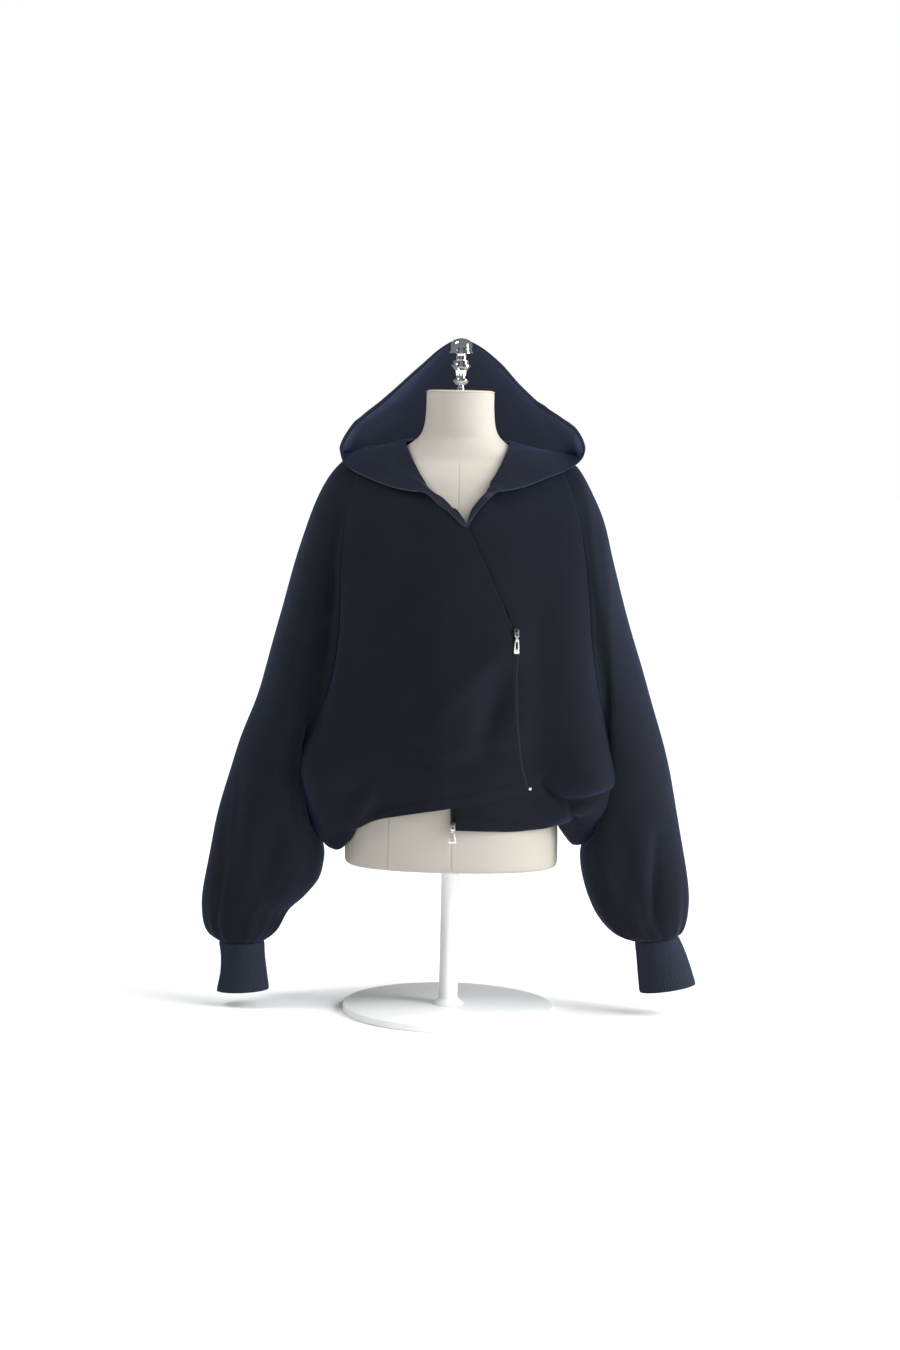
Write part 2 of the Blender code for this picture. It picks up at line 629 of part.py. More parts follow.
def body_pieces():
    """The right front, which laps over the left one as far as the slanted zip, the left front,
    which reaches to the middle under it, and the back."""
    places = body_places()
    right_rows = [right_front_row(place) for place in places]
    left_rows = [left_front_row(place) for place in places]
    back_rows = [back_row(place) for place in places]
    at_left = [row[0] for row in right_rows]
    at_right = [row[-1] for row in left_rows]
    right_next = [row[1] for row in right_rows]
    left_next = [row[-2] for row in left_rows]
    back_right_next = [row[1] for row in back_rows]
    back_left_next = [row[-2] for row in back_rows]
    free = [Vector((0, 0, 0)) for _ in places]
    right_steps = seam_steps(places, at_left, right_next, back_left_next, sleeve_neighbours("left", False))
    left_steps = seam_steps(places, at_right, left_next, back_right_next, sleeve_neighbours("right", False))
    back_ends = [row[0] for row in back_rows], [row[-1] for row in back_rows]
    back_right = seam_steps(places, back_ends[0], back_right_next, left_next,
                            sleeve_neighbours("right", True))
    back_left = seam_steps(places, back_ends[1], back_left_next, right_next, sleeve_neighbours("left", True))
    add_body_piece("right_front", right_rows, right_steps, free)
    add_body_piece("left_front", left_rows, free, left_steps)
    add_body_piece("back", back_rows, back_right, back_left)


# ---------------------------------------------------------------------------- sleeves and cuffs

def armhole_line(side, turn=0.0):
    """Closed line of the armhole: shoulder, down the front, under the arm and up the back. A turn
    moves it over the body towards the middle of the front and the back."""
    places = [place for place in body_places() if ARMHOLE_TOP <= place <= ARMHOLE_END]
    piece = "right" if side == "left" else "left"
    to_front = turn if side == "left" else -turn
    front = [piece_point(piece, place, side_angle(place, side) + to_front) for place in places]
    back = [piece_point("back", place, side_angle(place, side, back=True) - to_front) for place in places]
    return front + back[-2:0:-1]


def sleeve_ring(ring, side, count):
    """Oval ring that starts at its outer end and runs over the front."""
    sign = -1 if side == "left" else 1
    outer = Vector((sign * ring.x_out, SLEEVE_MIDDLE, ring.z_out))
    inner = Vector((sign * ring.x_in, SLEEVE_MIDDLE, ring.z_in))
    middle = (outer + inner) / 2
    reach = (outer - inner) / 2
    points = []
    for index in range(count):
        angle = TURN * index / count
        depth = ring.front if math.sin(angle) > 0 else ring.back
        points.append(middle + reach * math.cos(angle) + Vector((0, -depth * math.sin(angle), 0)))
    return points


def sleeve_rows(side):
    """Rings of a sleeve from the armhole to the cuff, before the armhole seam is set back."""
    armhole = armhole_line(side)
    count = len(armhole)
    ideal = sleeve_ring(ARMHOLE_IDEAL[side], side, count)
    own_line = [a - b for a, b in zip(armhole, ideal)]
    rings = SLEEVE[side]
    last = len(rings) - 1
    rows = [armhole]
    for place in SLEEVE_STEPS + [float(step_number) for step_number in range(2, last + 1)]:
        keep = max(between([1.0, *BLEND_RINGS, 0.0, 0.0], place + 1), 0.0) if place < 4 else 0.0
        row = sleeve_ring(ring_at(rings, place), side, count)
        middle = sum(row, Vector((0, 0, 0))) / count
        closeness = step(last - GATHER_RINGS, last - 1, place) * (1 - step(last - 1, last, place))
        for index in range(count):
            angle = TURN * index / count
            point = row[index] + own_line[index] * keep
            face = "front" if math.sin(angle) > 0 else "back"
            dent = fold_depth(SLEEVE_FOLDS[side], face, point.x, point.z) * abs(math.sin(angle))
            dent *= 1 - step(last - 2, last, place)
            dent += GATHER_DEPTH * closeness * math.sin(GATHERS * angle)
            row[index] = point + (point - middle).normalized() * dent
        rows.append(row)
    return rows


def sleeve(side):
    rows = SLEEVE_ROWS[side]
    armhole = rows[0]
    count = len(armhole)
    body_side = armhole_line(side, BODY_TURN)
    side_line = math.pi if side == "left" else 0.0
    body_side[0] = body_point(ARMHOLE_TOP - 1, side_line)
    body_side[count // 2] = body_point(ARMHOLE_END + 1, side_line)
    first = []
    for index in range(count):
        along = armhole[(index + 1) % count] - armhole[index - 1]
        move = setback(armhole[index], along, rows[1][index], body_side[index])
        first.append(armhole[index] + move)
    points = first + [point for row in rows[1:] for point in row]
    faces = grid_faces(len(rows), count, closed=True)
    if side == "right":
        faces = [face[::-1] for face in faces]
    add_cloth(side + "_sleeve", points, faces, ("navy_jersey", NAVY_JERSEY))


def cuff(side):
    points = []
    for ring in CUFF[side]:
        points += sleeve_ring(ring, side, CUFF_SIDES)
    faces = grid_faces(len(CUFF[side]), CUFF_SIDES, closed=True)
    if side == "right":
        faces = [face[::-1] for face in faces]
    add_cloth(side + "_cuff", points, faces, ("cuff_rib", CUFF_RIB))


# ---------------------------------------------------------------------------- hood

def hood_stations(row):
    """The five points that a row of the hood runs through."""
    if row.neck_angle is None:
        inner = (0.0, row.seam_y, row.seam_z)
    else:
        angle = math.radians(row.neck_angle)
        inner = body_point(0, angle) + outward(0.1, angle) * HOOD_EDGE
    return [row.rim, row.roll, row.hollow, row.under, tuple(inner)]


def hood_point(stations, place, across):
    """Point of a hood half: place counts rows from the neck to the peak, across 0 is the rim."""
    line = []
    for station in range(len(stations[0])):
        line.append([between([row[station][axis] for row in stations], place) for axis in range(3)])
    along = across * (len(line) - 1)
    return Vector([between([point[axis] for point in line], along) for axis in range(3)])


def off_yoke(point):
    """Raises a point of the hood, if it must be, so that the hood lies on top of the yoke."""
    low, high = 0.0, float(YOKE_RINGS)
    for _ in range(24):
        middle = (low + high) / 2
        ring = ring_at(BODY, middle)
        half = ring.right if point.x > 0 else ring.left
        depth = ring.back if point.y > 0 else ring.front
        if math.hypot(point.x / half, point.y / depth) > 1:
            low = middle
        else:
            high = middle
    if low < 0.001 or high > YOKE_RINGS - 0.001:
        return point
    angle = math.atan2(point.y / depth, point.x / half)
    yoke = piece_point("lap", low, angle)
    up = outward(low, angle)
    clear = yoke.z + HOOD_CLEARANCE / max(up.z, 0.5)
    return Vector((point.x, point.y, max(point.z, clear)))


def hood_rows(side):
    stations = [hood_stations(row) for row in HOOD[side]]
    rows = []
    for row in range(HOOD_ROWS + 1):
        place = (len(stations) - 1) * row / HOOD_ROWS
        rows.append([hood_point(stations, place, column / (HOOD_COLUMNS - 1))
                     for column in range(HOOD_COLUMNS)])
    return rows


def centre_gap(rows, index):
    """How far a hood half stays from the middle, so that its wall's edge clears the other half."""
    along = line_direction([row[-1] for row in rows], index)
    normal = along.cross(rows[index][-2] - rows[index][-1]).normalized()
    return SEAM + CLOTH / 2 * abs(normal.x)


def hood_half(side):
    sign = -1 if side == "left" else 1
    rows = hood_rows(side)
    points = []
    for index, row in enumerate(rows):
        gap = centre_gap(rows, index)
        for point in row:
            points.append(off_yoke(Vector((sign * max(sign * point.x, gap), point.y, point.z))))
    faces = grid_faces(HOOD_ROWS + 1, HOOD_COLUMNS)
    if side == "left":
        faces = [face[::-1] for face in faces]
    add_cloth(side + "_hood", points, faces, ("navy_jersey", NAVY_JERSEY))


# ---------------------------------------------------------------------------- form and stand

def turned(name, profile, sides, finish, base=0.0, crease=40):
    """Solid turned about the Z axis from radius and height pairs, bottom to top."""
    points = []
    rings = [pair for pair in profile if pair[0] > 0]
    for radius, height in rings:
        for index in range(sides):
            angle = TURN * index / sides
            points.append((radius * math.cos(angle), radius * math.sin(angle), base + height))
    faces = grid_faces(len(rings), sides, closed=True)
    faces.append(tuple(reversed(range(sides))))
    top = (len(rings) - 1) * sides
    if profile[-1][0] > 0:
        faces.append(tuple(top + index for index in range(sides)))
    else:
        points.append((0, 0, base + profile[-1][1]))
        tip = len(points) - 1
        faces += [(top + index, top + (index + 1) % sides, tip) for index in range(sides)]
    return add_mesh(name, points, faces, finish, crease=crease)


def rounded(value):
    """Widens an oval's corners a little."""
    return math.copysign(abs(value) ** FORM_SQUARENESS, value)


def dress_form():
    points = []
    for ring in FORM:
        for index in range(FORM_SIDES):
            angle = TURN * index / FORM_SIDES
            across, along = math.cos(angle), math.sin(angle)
            if ring.z < FORM_SHOULDER:
                across, along = rounded(across), rounded(along)
            depth = ring.back if along > 0 else ring.front
            points.append((ring.half * across, depth * along, ring.z))
    faces = grid_faces(len(FORM), FORM_SIDES, closed=True)
    faces.append(tuple(reversed(range(FORM_SIDES))))
    top = (len(FORM) - 1) * FORM_SIDES
    faces.append(tuple(top + index for index in range(FORM_SIDES)))
    add_mesh("dress_form", points, faces, ("linen", LINEN), crease=50)


def stand():
    base = [(BASE_RADIUS, 0.0), (BASE_RADIUS, BASE_HEIGHT - BASE_CHAMFER),
            (BASE_RADIUS - BASE_CHAMFER, BASE_HEIGHT)]
    turned("stand_base", base, STAND_SIDES, ("stand_paint", STAND_PAINT))
    collar_top = FORM_BOTTOM - TOUCH
    collar_low = collar_top - COLLAR_HEIGHT
    foot = BASE_HEIGHT + TOUCH
    post = [(FOOT_RADIUS, foot), (POST_RADIUS, foot + FOOT_HEIGHT), (POST_RADIUS, collar_low),
            (COLLAR_RADIUS, collar_low + COLLAR_SLOPE), (COLLAR_RADIUS, collar_top)]
    turned("stand_post", post, FINIAL_SIDES, ("stand_paint", STAND_PAINT))


# ---------------------------------------------------------------------------- zips

def tape_strip(name, heights, left_edge, right_edge, lift, columns):
    points = []
    for z in heights:
        for column in range(columns):
            part = column / (columns - 1)
            x = left_edge(z) * (1 - part) + right_edge(z) * part
            points.append(on_front("left", x, z, lift))
    faces = [face[::-1] for face in grid_faces(len(heights), columns)]
    add_cloth(name, points, faces, ("zip_tape", ZIP_TAPE), thickness=TAPE)


def zip_tapes():
    step_up = (TAPE_HIGH - TAPE_LOW) / TAPE_ROWS
    heights = [TAPE_LOW + step_up * index for index in range(TAPE_ROWS + 1)]
    heights = [z for z in heights if z < TAPE_SHOWN]
    tape_strip("slanted_zip_tape", heights, lambda z: read_line(RIGHT_EDGE, z) - TAPE_INSIDE,
               lambda z: read_line(RIGHT_EDGE, z) + TAPE_OUTSIDE, CLOTH / 2 + TAPE_LIFT + TAPE / 2, 3)
    step_up = (EDGE_TAPE_HIGH - EDGE_TAPE_LOW) / EDGE_TAPE_ROWS
    heights = [EDGE_TAPE_LOW + step_up * index for index in range(EDGE_TAPE_ROWS + 1)]
    tape_strip("edge_zip_tape", heights, lambda z: read_line(LEFT_EDGE, z) - EDGE_TAPE,
               lambda z: read_line(LEFT_EDGE, z) - EDGE_TAPE_GAP, 0.0, 2)


def box_points(low, high):
    return [(x, y, z) for z in (low[2], high[2]) for y in (low[1], high[1]) for x in (low[0], high[0])]


BOX_FACES = [(0, 2, 3, 1), (4, 5, 7, 6), (0, 1, 5, 4), (2, 6, 7, 3), (0, 4, 6, 2), (1, 3, 7, 5)]


def extruded(profile, low, high, order):
    """Closed prism of a profile between two levels. Order says which axes the three numbers are."""
    count = len(profile)
    points = [order(a, b, low) for a, b in profile] + [order(a, b, high) for a, b in profile]
    faces = [tuple(range(count)), tuple(reversed(range(count, 2 * count)))]
    faces += [(index + count, (index + 1) % count + count, (index + 1) % count, index)
              for index in range(count)]
    return points, faces


def seated(points, seat):
    """Points measured on a seat (a place and a turn about Z), as world points."""
    return [seat.turn @ Vector(point) + seat.place for point in points]


def hidden_tool(name, points, faces, seat):
    tool = add_mesh(name, seated(points, seat), faces, ("nickel", NICKEL))
    tool.hide_render = True
    tool.display_type = "WIRE"
    return tool


def boolean(piece, tool, operation):
    modifier = piece.modifiers.new(operation.lower(), "BOOLEAN")
    modifier.object = tool
    modifier.operation = operation


def slider(name, seat):
    """Zip slider: a shield with a bail on its face. The seat is at the middle of the bail."""
    w, h = SLIDER_WIDTH / 2, SLIDER_HEIGHT / 2
    shield = [(-w * 0.72, -h), (w * 0.72, -h), (w, -h * 0.2), (w, h * 0.6), (w * 0.62, h),
              (w * 0.18, h), (0, h * 0.72), (-w * 0.18, h), (-w * 0.62, h), (-w, h * 0.6), (-w, -h * 0.2)]
    face = CROWN_GAP / 2
    points, faces = extruded(shield, face, face + SLIDER_DEPTH, lambda x, z, y: (x, y, z))
    body = add_mesh(name, seated(points, seat), faces, ("nickel", NICKEL), crease=30)
    reach, gap, sunk = CROWN_REACH, CROWN_GAP / 2, face + BAIL_SINK
    arch = [(sunk, -reach), (-gap - BAIL_WIRE * 0.3, -reach), (-gap - BAIL_WIRE, -reach * 0.55),
            (-gap - BAIL_WIRE, reach * 0.55), (-gap - BAIL_WIRE * 0.3, reach), (sunk, reach),
            (sunk, reach - BAIL_WIRE), (-gap + 0.1, reach - BAIL_WIRE), (-gap, reach * 0.3),
            (-gap, -reach * 0.3), (-gap + 0.1, -reach + BAIL_WIRE), (sunk, -reach + BAIL_WIRE)]
    points, faces = extruded(arch, -CROWN_WIDTH / 2, CROWN_WIDTH / 2, lambda y, z, x: (x, y, z))
    boolean(body, hidden_tool(name + "_bail", points, faces, seat), "UNION")


def pull(name, size, seat):
    """Pull tab that swings on its top bar. Its origin lies on the bar's axis."""
    top, low = size.top_width / 2, size.bottom_width / 2
    half_neck = size.neck_width / 2
    outline = [(-top, PIN_RADIUS), (-top, EYE_END), (-half_neck, EYE_END - 1.2),
               (-half_neck, EYE_END - 3.0), (-top, EYE_END - 4.2), (-low, -size.length + 1.2),
               (-low + 1.0, -size.length), (low - 1.0, -size.length), (low, -size.length + 1.2),
               (top, EYE_END - 4.2), (half_neck, EYE_END - 3.0), (half_neck, EYE_END - 1.2),
               (top, EYE_END), (top, PIN_RADIUS)]
    half = PULL_THICKNESS / 2
    points, faces = extruded(outline, -half, half, lambda x, z, y: (x, y, z))
    plate = add_mesh(name, seated(points, seat), faces, ("nickel", NICKEL), place=seat.place, crease=30)
    eye = (-top + 1.3, EYE_END + 1.1, top - 1.3, -PIN_RADIUS)
    window = (-size.window_width / 2, -size.length + size.window_bottom,
              size.window_width / 2, -size.window_top)
    for number, (x_low, z_low, x_high, z_high) in enumerate((eye, window)):
        points = box_points((x_low, -half - 1, z_low), (x_high, half + 1, z_high))
        cutter = hidden_tool(name + "_cut" + str(number), points, BOX_FACES, seat)
        boolean(plate, cutter, "DIFFERENCE")


def zip_hardware():
    z = UPPER_SLIDER_HEIGHT
    x = read_line(RIGHT_EDGE, z)
    face = on_front("left", x, z, LAP_LIFT + CLOTH / 2 + SLIDER_SEAT + SLIDER_DEPTH + CROWN_GAP / 2)
    across = on_front("left", x + 5, z, 0.0) - on_front("left", x - 5, z, 0.0)
    seat = Seat(face, Matrix.Rotation(math.atan2(across.y, across.x), 3, "Z"))
    slider("upper_slider", seat)
    pull("upper_pull", UPPER_PULL, seat)
    z = LOWER_SLIDER_HEIGHT
    face = on_front("left", 8.0, z, CLOTH / 2 + SLIDER_SEAT + SLIDER_DEPTH + CROWN_GAP / 2)
    face.x = read_line(LEFT_EDGE, z) - EDGE_TAPE / 2
    seat = Seat(face, Matrix.Identity(3))
    slider("lower_slider", seat)
    pull("lower_pull", LOWER_PULL, seat)
    z = STOP_HEIGHT
    face = on_front("left", read_line(RIGHT_EDGE, z) + STOP_REACH, z, CLOTH / 2 + TAPE_LIFT + TAPE)
    width, depth, height = STOP_SIZE
    low = (face.x - width / 2, face.y - STOP_GAP - depth, face.z - height / 2)
    high = (face.x + width / 2, face.y - STOP_GAP, face.z + height / 2)
    add_mesh("zip_stop", box_points(low, high), BOX_FACES, ("nickel", NICKEL))


SLEEVE_ROWS = {side: sleeve_rows(side) for side in ("left", "right")}


def build():
    clear_scene()
    dress_form()
    turned("finial", FINIAL, FINIAL_SIDES, ("chrome", CHROME), base=FORM_TOP)
    stand()
    body_pieces()
    for side in ("left", "right"):
        sleeve(side)
        cuff(side)
        hood_half(side)
    zip_tapes()
    zip_hardware()


build()
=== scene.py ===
"""Dresses the solids of a wrapped zip-up hoodie on its dress form with cloth, sewing and zips.

The garment faces -Y, +X is the viewer's right and Z is up. Tables are millimetres, meshes metres.
"""

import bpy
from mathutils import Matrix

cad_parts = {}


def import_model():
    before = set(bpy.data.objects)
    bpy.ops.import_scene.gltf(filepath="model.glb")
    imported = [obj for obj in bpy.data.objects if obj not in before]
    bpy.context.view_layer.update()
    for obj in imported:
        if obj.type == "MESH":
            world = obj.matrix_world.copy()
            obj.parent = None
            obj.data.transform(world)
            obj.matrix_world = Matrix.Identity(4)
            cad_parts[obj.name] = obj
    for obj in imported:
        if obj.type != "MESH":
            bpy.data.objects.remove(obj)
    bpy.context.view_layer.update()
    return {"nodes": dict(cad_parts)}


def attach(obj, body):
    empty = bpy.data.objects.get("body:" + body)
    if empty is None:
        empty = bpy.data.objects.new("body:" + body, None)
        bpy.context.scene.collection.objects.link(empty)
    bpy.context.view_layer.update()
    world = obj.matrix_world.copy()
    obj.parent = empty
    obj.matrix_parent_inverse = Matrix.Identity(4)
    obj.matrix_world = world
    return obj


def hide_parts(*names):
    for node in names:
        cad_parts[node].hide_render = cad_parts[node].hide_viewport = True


bl_info = {
    "name": "Wrapped Zip Hoodie",
    "version": (1, 0, 0),
    "blender": (4, 5, 0),
    "location": "3D View > Sidebar > Hoodie",
    "description": "Cloth, sewing, zips, dress form and studio for a wrapped zip-up hoodie",
    "category": "Object",
}

import math

import bmesh
import bpy
import numpy as np
from bpy.props import FloatProperty, FloatVectorProperty, IntProperty, PointerProperty
from mathutils import Matrix, Vector

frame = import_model()

MM = 0.001
TURN = 2.0 * math.pi
# Metres within which points are one
TOUCH = 1e-6
BODY_NAME = "garment_on_form"
CLOTH = 2.0

# Body rings: heights at front, sides and back, then reach to the left, right, front and back
Z_FRONT, Z_SIDE, Z_BACK, LEFT, RIGHT, FRONT, BACK = range(7)
BODY = [
    (812, 915, 924, 86, 80, 112, 70), (796, 909, 914, 106, 104, 119, 78),
    (775, 902, 898, 130, 130, 127, 86), (748, 894, 874, 154, 156, 133, 94),
    (710, 852, 832, 198, 207, 140, 104), (660, 782, 772, 212, 228, 148, 114),
    (606, 706, 694, 213, 236, 153, 124), (552, 626, 614, 212, 238, 155, 132),
    (500, 548, 540, 220, 243, 154, 138), (452, 474, 470, 232, 248, 148, 140),
    (414, 404, 408, 241, 256, 139, 139), (384, 350, 364, 228, 254, 130, 137),
    (360, 306, 330, 222, 244, 123, 131), (342, 281, 308, 206, 218, 118, 128),
    (326, 275, 292, 193, 198, 117, 125), (312, 290, 297, 181, 182, 116, 122),
]
LAST_RING = len(BODY) - 1
ARMHOLE_TOP = 3
ARMHOLE_END = 10
# Half width at the armhole from its top ring to its end
ARMHOLE = {"left": (154, 172, 180, 183, 186, 198, 220, 241),
           "right": (156, 184, 198, 206, 212, 220, 235, 256)}
# Free edges of the fronts by height, then the hems' heights by their place across
RIGHT_EDGE = [(303, 115.6), (325, 112.5), (364, 109.2), (408, 105.6), (446, 99.2), (474, 96.2),
              (522, 94.4), (582, 91.2), (624, 88.6), (648, 78.5), (686, 62), (746, 35), (789, 14),
              (808, 0), (826, -18), (834, -34), (841, -52)]
LEFT_EDGE = [(300, 7), (345, 5), (560, 9), (740, 12), (786, 15), (816, 28), (838, 44)]
RIGHT_HEM = [(-181, 283), (-168, 280), (-158, 291), (-149, 311), (-110, 324), (-55, 337),
             (2, 349), (60, 362), (117, 375)]
LEFT_HEM = [(5, 311), (60, 310), (107, 309), (132, 314), (150, 322), (161, 325), (169, 310),
            (182, 291)]
BACK_HEM = [(-181, 283), (-168, 279), (-152, 292), (-120, 300), (0, 300), (120, 306),
            (150, 322), (161, 325), (169, 310), (182, 291)]
HEM = {"right": RIGHT_HEM, "left": LEFT_HEM, "lap": LEFT_HEM, "back": BACK_HEM}
# Rings over which the hem's line pulls the cloth
HEM_REACH = 5.0
# Where the right front rises onto the left one, and how far
LAP_RAMP = (-105.0, -8.0)
LAP_LIFT = 4.6
# Sines of the angle from the side within which folds fade out and the cloth turns forward
SIDE_FADE = 0.35
FORWARD_FADE = 0.3

# Broad folds, then creases: start, end, width, depth. Depth below 0 is a trough, and a lean at the
# end of a row raises one side of the line over the other.
FOLDS = {
    "fronts": [
        (84, 610, -30, 500, 34, 5),
        (66, 560, 50, 440, 26, -5),
        (10, 470, -60, 410, 34, 4),
        (-66, 430, -40, 400, 22, -5),
        (78, 608, -22, 504, 16, 4.4),
        (70, 545, 40, 458, 18, -5, 2),
        (86, 462, -10, 442, 13, 4),
        (-52, 448, -44, 438, 11, -3.5),
        (-40, 424, -31, 414, 10, -3),
        (-83, 448, -30, 482, 17, 2.5),
    ],
    "left": [
        (140, 389, 166, 356, 12, -5),
        (166, 356, 236, 366, 12, -5),
        (180, 350, 196, 310, 11, -4),
        (172, 408, 220, 398, 20, 5),
        (138, 391, 149, 374, 6, -5, 1.6),
        (149, 374, 168, 361, 5.5, -6, 1.6),
        (168, 361, 196, 359, 5.5, -6, 1.6),
        (196, 359, 238, 374, 6, -6, 1.6),
        (179, 357, 187, 333, 5, -5.5, 1),
        (187, 333, 194, 322, 5, -3.5),
        (200, 700, 232, 500, 12, -2.5),
        (150, 700, 168, 560, 24, 2),
    ],
    "right": [
        (-148, 322, -112, 392, 16, 6),
        (-176, 330, -168, 300, 20, 5),
        (-200, 410, -150, 360, 26, 5),
        (-148, 322, -121, 374, 9, 3.5),
        (-130, 334, -98, 406, 12, -3),
        (-190, 690, -214, 440, 15, -7),
        (-120, 690, -150, 560, 24, 2.2),
    ],
    "back": [
        (-150, 640, -40, 470, 40, -7),
        (150, 660, 50, 480, 40, -7),
        (-30, 420, -120, 360, 30, 6),
        (60, 440, 150, 370, 30, 6),
        (0, 560, 6, 380, 34, -5),
        (-120, 760, -60, 640, 26, 2.6),
        (116, 740, 70, 610, 24, 2.4),
        (-170, 520, -110, 430, 16, -3.2, 1.2),
        (172, 500, 96, 420, 15, -3.4, 1.2),
        (-70, 372, -20, 352, 12, -2.6, 1),
        (20, 366, 84, 380, 12, -2.4, 1),
        (-205, 660, -226, 450, 15, -6),
        (222, 660, 242, 450, 15, -6),
    ],
}
# Places where the cloth bags out to the front: piece, x, z, width, height, push
BAGS = [
    ("left", 226, 352, 34, 44, 9.0), ("left", 186, 322, 30, 22, 4.0),
    ("right", -208, 356, 34, 46, 10.0), ("fronts", 20, 392, 96, 28, 6.0),
    ("right", -95, 590, 95, 130, -9.0),
]
# How far the body's sides puff out over the sleeves: height, sideways and to the front
SIDE_PUFF = {
    "left": [(285, 0, 2), (320, 5, 10), (350, 9, 18), (390, 10, 25), (430, 7, 22), (480, 3, 14),
             (560, 0, 10), (680, 0, 6), (780, 0, 0)],
    "right": [(285, 0, 2), (310, 5, 9), (340, 9, 18), (385, 15, 31), (430, 12, 33), (480, 7, 32),
              (560, 4, 30), (640, 2, 26), (720, 0, 18), (800, 0, 8), (860, 0, 0)],
}
PUFF_REACH = (120.0, 222.0)
# Rows of the tables above that act on each panel
FOLD_PIECES = {"left": ("left", "fronts"), "right": ("right", "fronts"), "lap": ("fronts",),
               "back": ("back",)}

# Sleeve rings: inner and outer end seen from the front (x, z each), then reach to front and back
ARMHOLE_RING = {"left": (241, 404, 154, 894, 78, 70), "right": (256, 404, 156, 894, 78, 70)}
SLEEVE = {
    "left": [
        (249, 394, 169, 892, 86, 80), (251, 380, 187, 880, 94, 92), (248, 361, 208, 853, 98, 102),
        (242, 339, 229.5, 809, 99, 108), (235, 317, 252.5, 739, 98, 112),
        (227.5, 297, 280, 637, 95, 113), (213, 277, 311, 520, 91, 110),
        (205, 259, 343, 430, 86, 104), (205.5, 237, 368, 346, 79, 96),
        (213, 211, 387, 256, 70, 86), (234, 185, 397, 188, 60, 75), (260, 161, 396, 146, 50, 63),
        (278, 129, 388, 121, 41, 50), (300, 108.5, 371.5, 107.5, 33, 40),
    ],
    "right": [
        (260, 394, 172, 889.5, 86, 80), (262, 380, 189, 878, 94, 92), (259, 361, 209, 845, 98, 102),
        (253, 341, 232, 795, 99, 108), (245.5, 321, 250, 727, 98, 112),
        (237, 303, 275, 636, 95, 113), (222, 286, 307, 536, 91, 110),
        (210, 270, 334, 450, 86, 104), (208, 253, 356.5, 356, 79, 96),
        (212, 226, 371.5, 275, 70, 86), (223.5, 192, 383, 205, 60, 75),
        (242, 158, 383, 165, 50, 63), (268, 132, 377, 139, 41, 50), (300, 121, 369, 131, 33, 40),
    ],
}
# How squarely the inner front of a sleeve turns back toward the body
SLEEVE_SQUARE = {"left": 0.12, "right": 0.30}
# Share of the armhole's own outline kept by each ring, and the sleeves' middle in depth
KEEP_ARMHOLE = (1.0, 0.62, 0.30, 0.10, 0.0, 0.0)
SLEEVE_MIDDLE = 6.0
# Gathers at the cuff: height, then waves by number round the sleeve, part of a shift, and share
GATHER_HEIGHT = 3.0
GATHER_WAVES = [(7, 1.0, 0.5), (11, 2.3, 0.35), (17, 4.1, 0.3)]
GATHER_SHIFT = {"left": 0.7, "right": 2.1}
# Strength of the cloth's soft unevenness
SLEEVE_DRAPE = 1.3
# Folds and creases of the sleeves' fronts and backs
SLEEVE_FOLDS = {
    "left": {
        "front": [
            (-344, 382, -372, 140, 15, -7),
            (-296, 470, -330, 300, 30, 5),
            (-268, 330, -300, 190, 22, -5),
            (-246, 300, -262, 210, 18, 5),
            (-182, 770, -214, 600, 26, -20),
            (-214, 600, -230, 508, 26, -28),
            (-230, 508, -252, 395, 22, -22),
            (-246, 400, -251, 340, 13, -7),
            (-251, 340, -241, 282, 12, -6),
            (-346, 376, -354, 250, 7, 3.2),
            (-354, 250, -366, 138, 6, 3.4),
            (-262, 560, -286, 420, 24, 2.6),
            (-316, 330, -326, 200, 19, 2.4),
            (-240, 262, -276, 196, 9, -3, 1),
            (-222, 300, -250, 228, 11, 3),
        ],
        "back": [
            (-300, 520, -340, 260, 24, -8),
            (-250, 620, -290, 330, 30, 6),
            (-210, 610, -236, 430, 15, -12),
            (-330, 400, -356, 200, 9, -3.4, 1.8),
            (-270, 360, -300, 200, 13, 2.8),
        ],
    },
    "right": {
        "front": [
            (330, 300, 326, 140, 16, -6),
            (300, 470, 330, 320, 30, 4),
            (262, 300, 300, 190, 22, -5),
            (240, 300, 262, 200, 18, 4),
            (216, 690, 232, 596, 10, -3),
            (232, 596, 246, 500, 9, -3),
            (324, 306, 326, 146, 7, -2.4, 0.6),
            (268, 560, 292, 410, 24, 2.6),
            (300, 330, 306, 200, 19, 2.2),
            (246, 260, 280, 190, 9, -3, 1),
            (224, 292, 250, 226, 11, 3),
        ],
        "back": [
            (296, 540, 336, 280, 24, -8),
            (250, 640, 290, 350, 30, 6),
            (222, 610, 246, 430, 15, -12),
            (326, 390, 346, 200, 9, -3.4, 1.8),
            (268, 350, 300, 210, 13, 2.8),
        ],
    },
}
HOOD_CREASES = {
    "left": [
        (-97, 981, -160, 938, 9, -4),
        (-160, 938, -172, 906, 9, -4),
        (-100, 950, -140, 915, 14, -5),
    ],
    "right": [
        (79, 1009, 128, 970, 8, -4),
        (128, 970, 178, 925, 8, -6),
        (178, 925, 188, 902, 8, -5),
    ],
}
# Cuff rings, as the sleeves'
CUFF = {
    "left": [(300, 106.9, 370.5, 105.9, 30, 35), (299, 84, 367, 83, 29, 33),
             (295.5, 57, 367.5, 54, 29, 32), (291.5, 29, 373, 24, 31, 34)],
    "right": [(301.5, 119.3, 368.5, 129.3, 30, 35), (305, 93, 380, 105, 29, 33),
              (308, 65, 390.5, 77, 29, 32), (311.5, 36, 399, 51, 31, 34)],
}

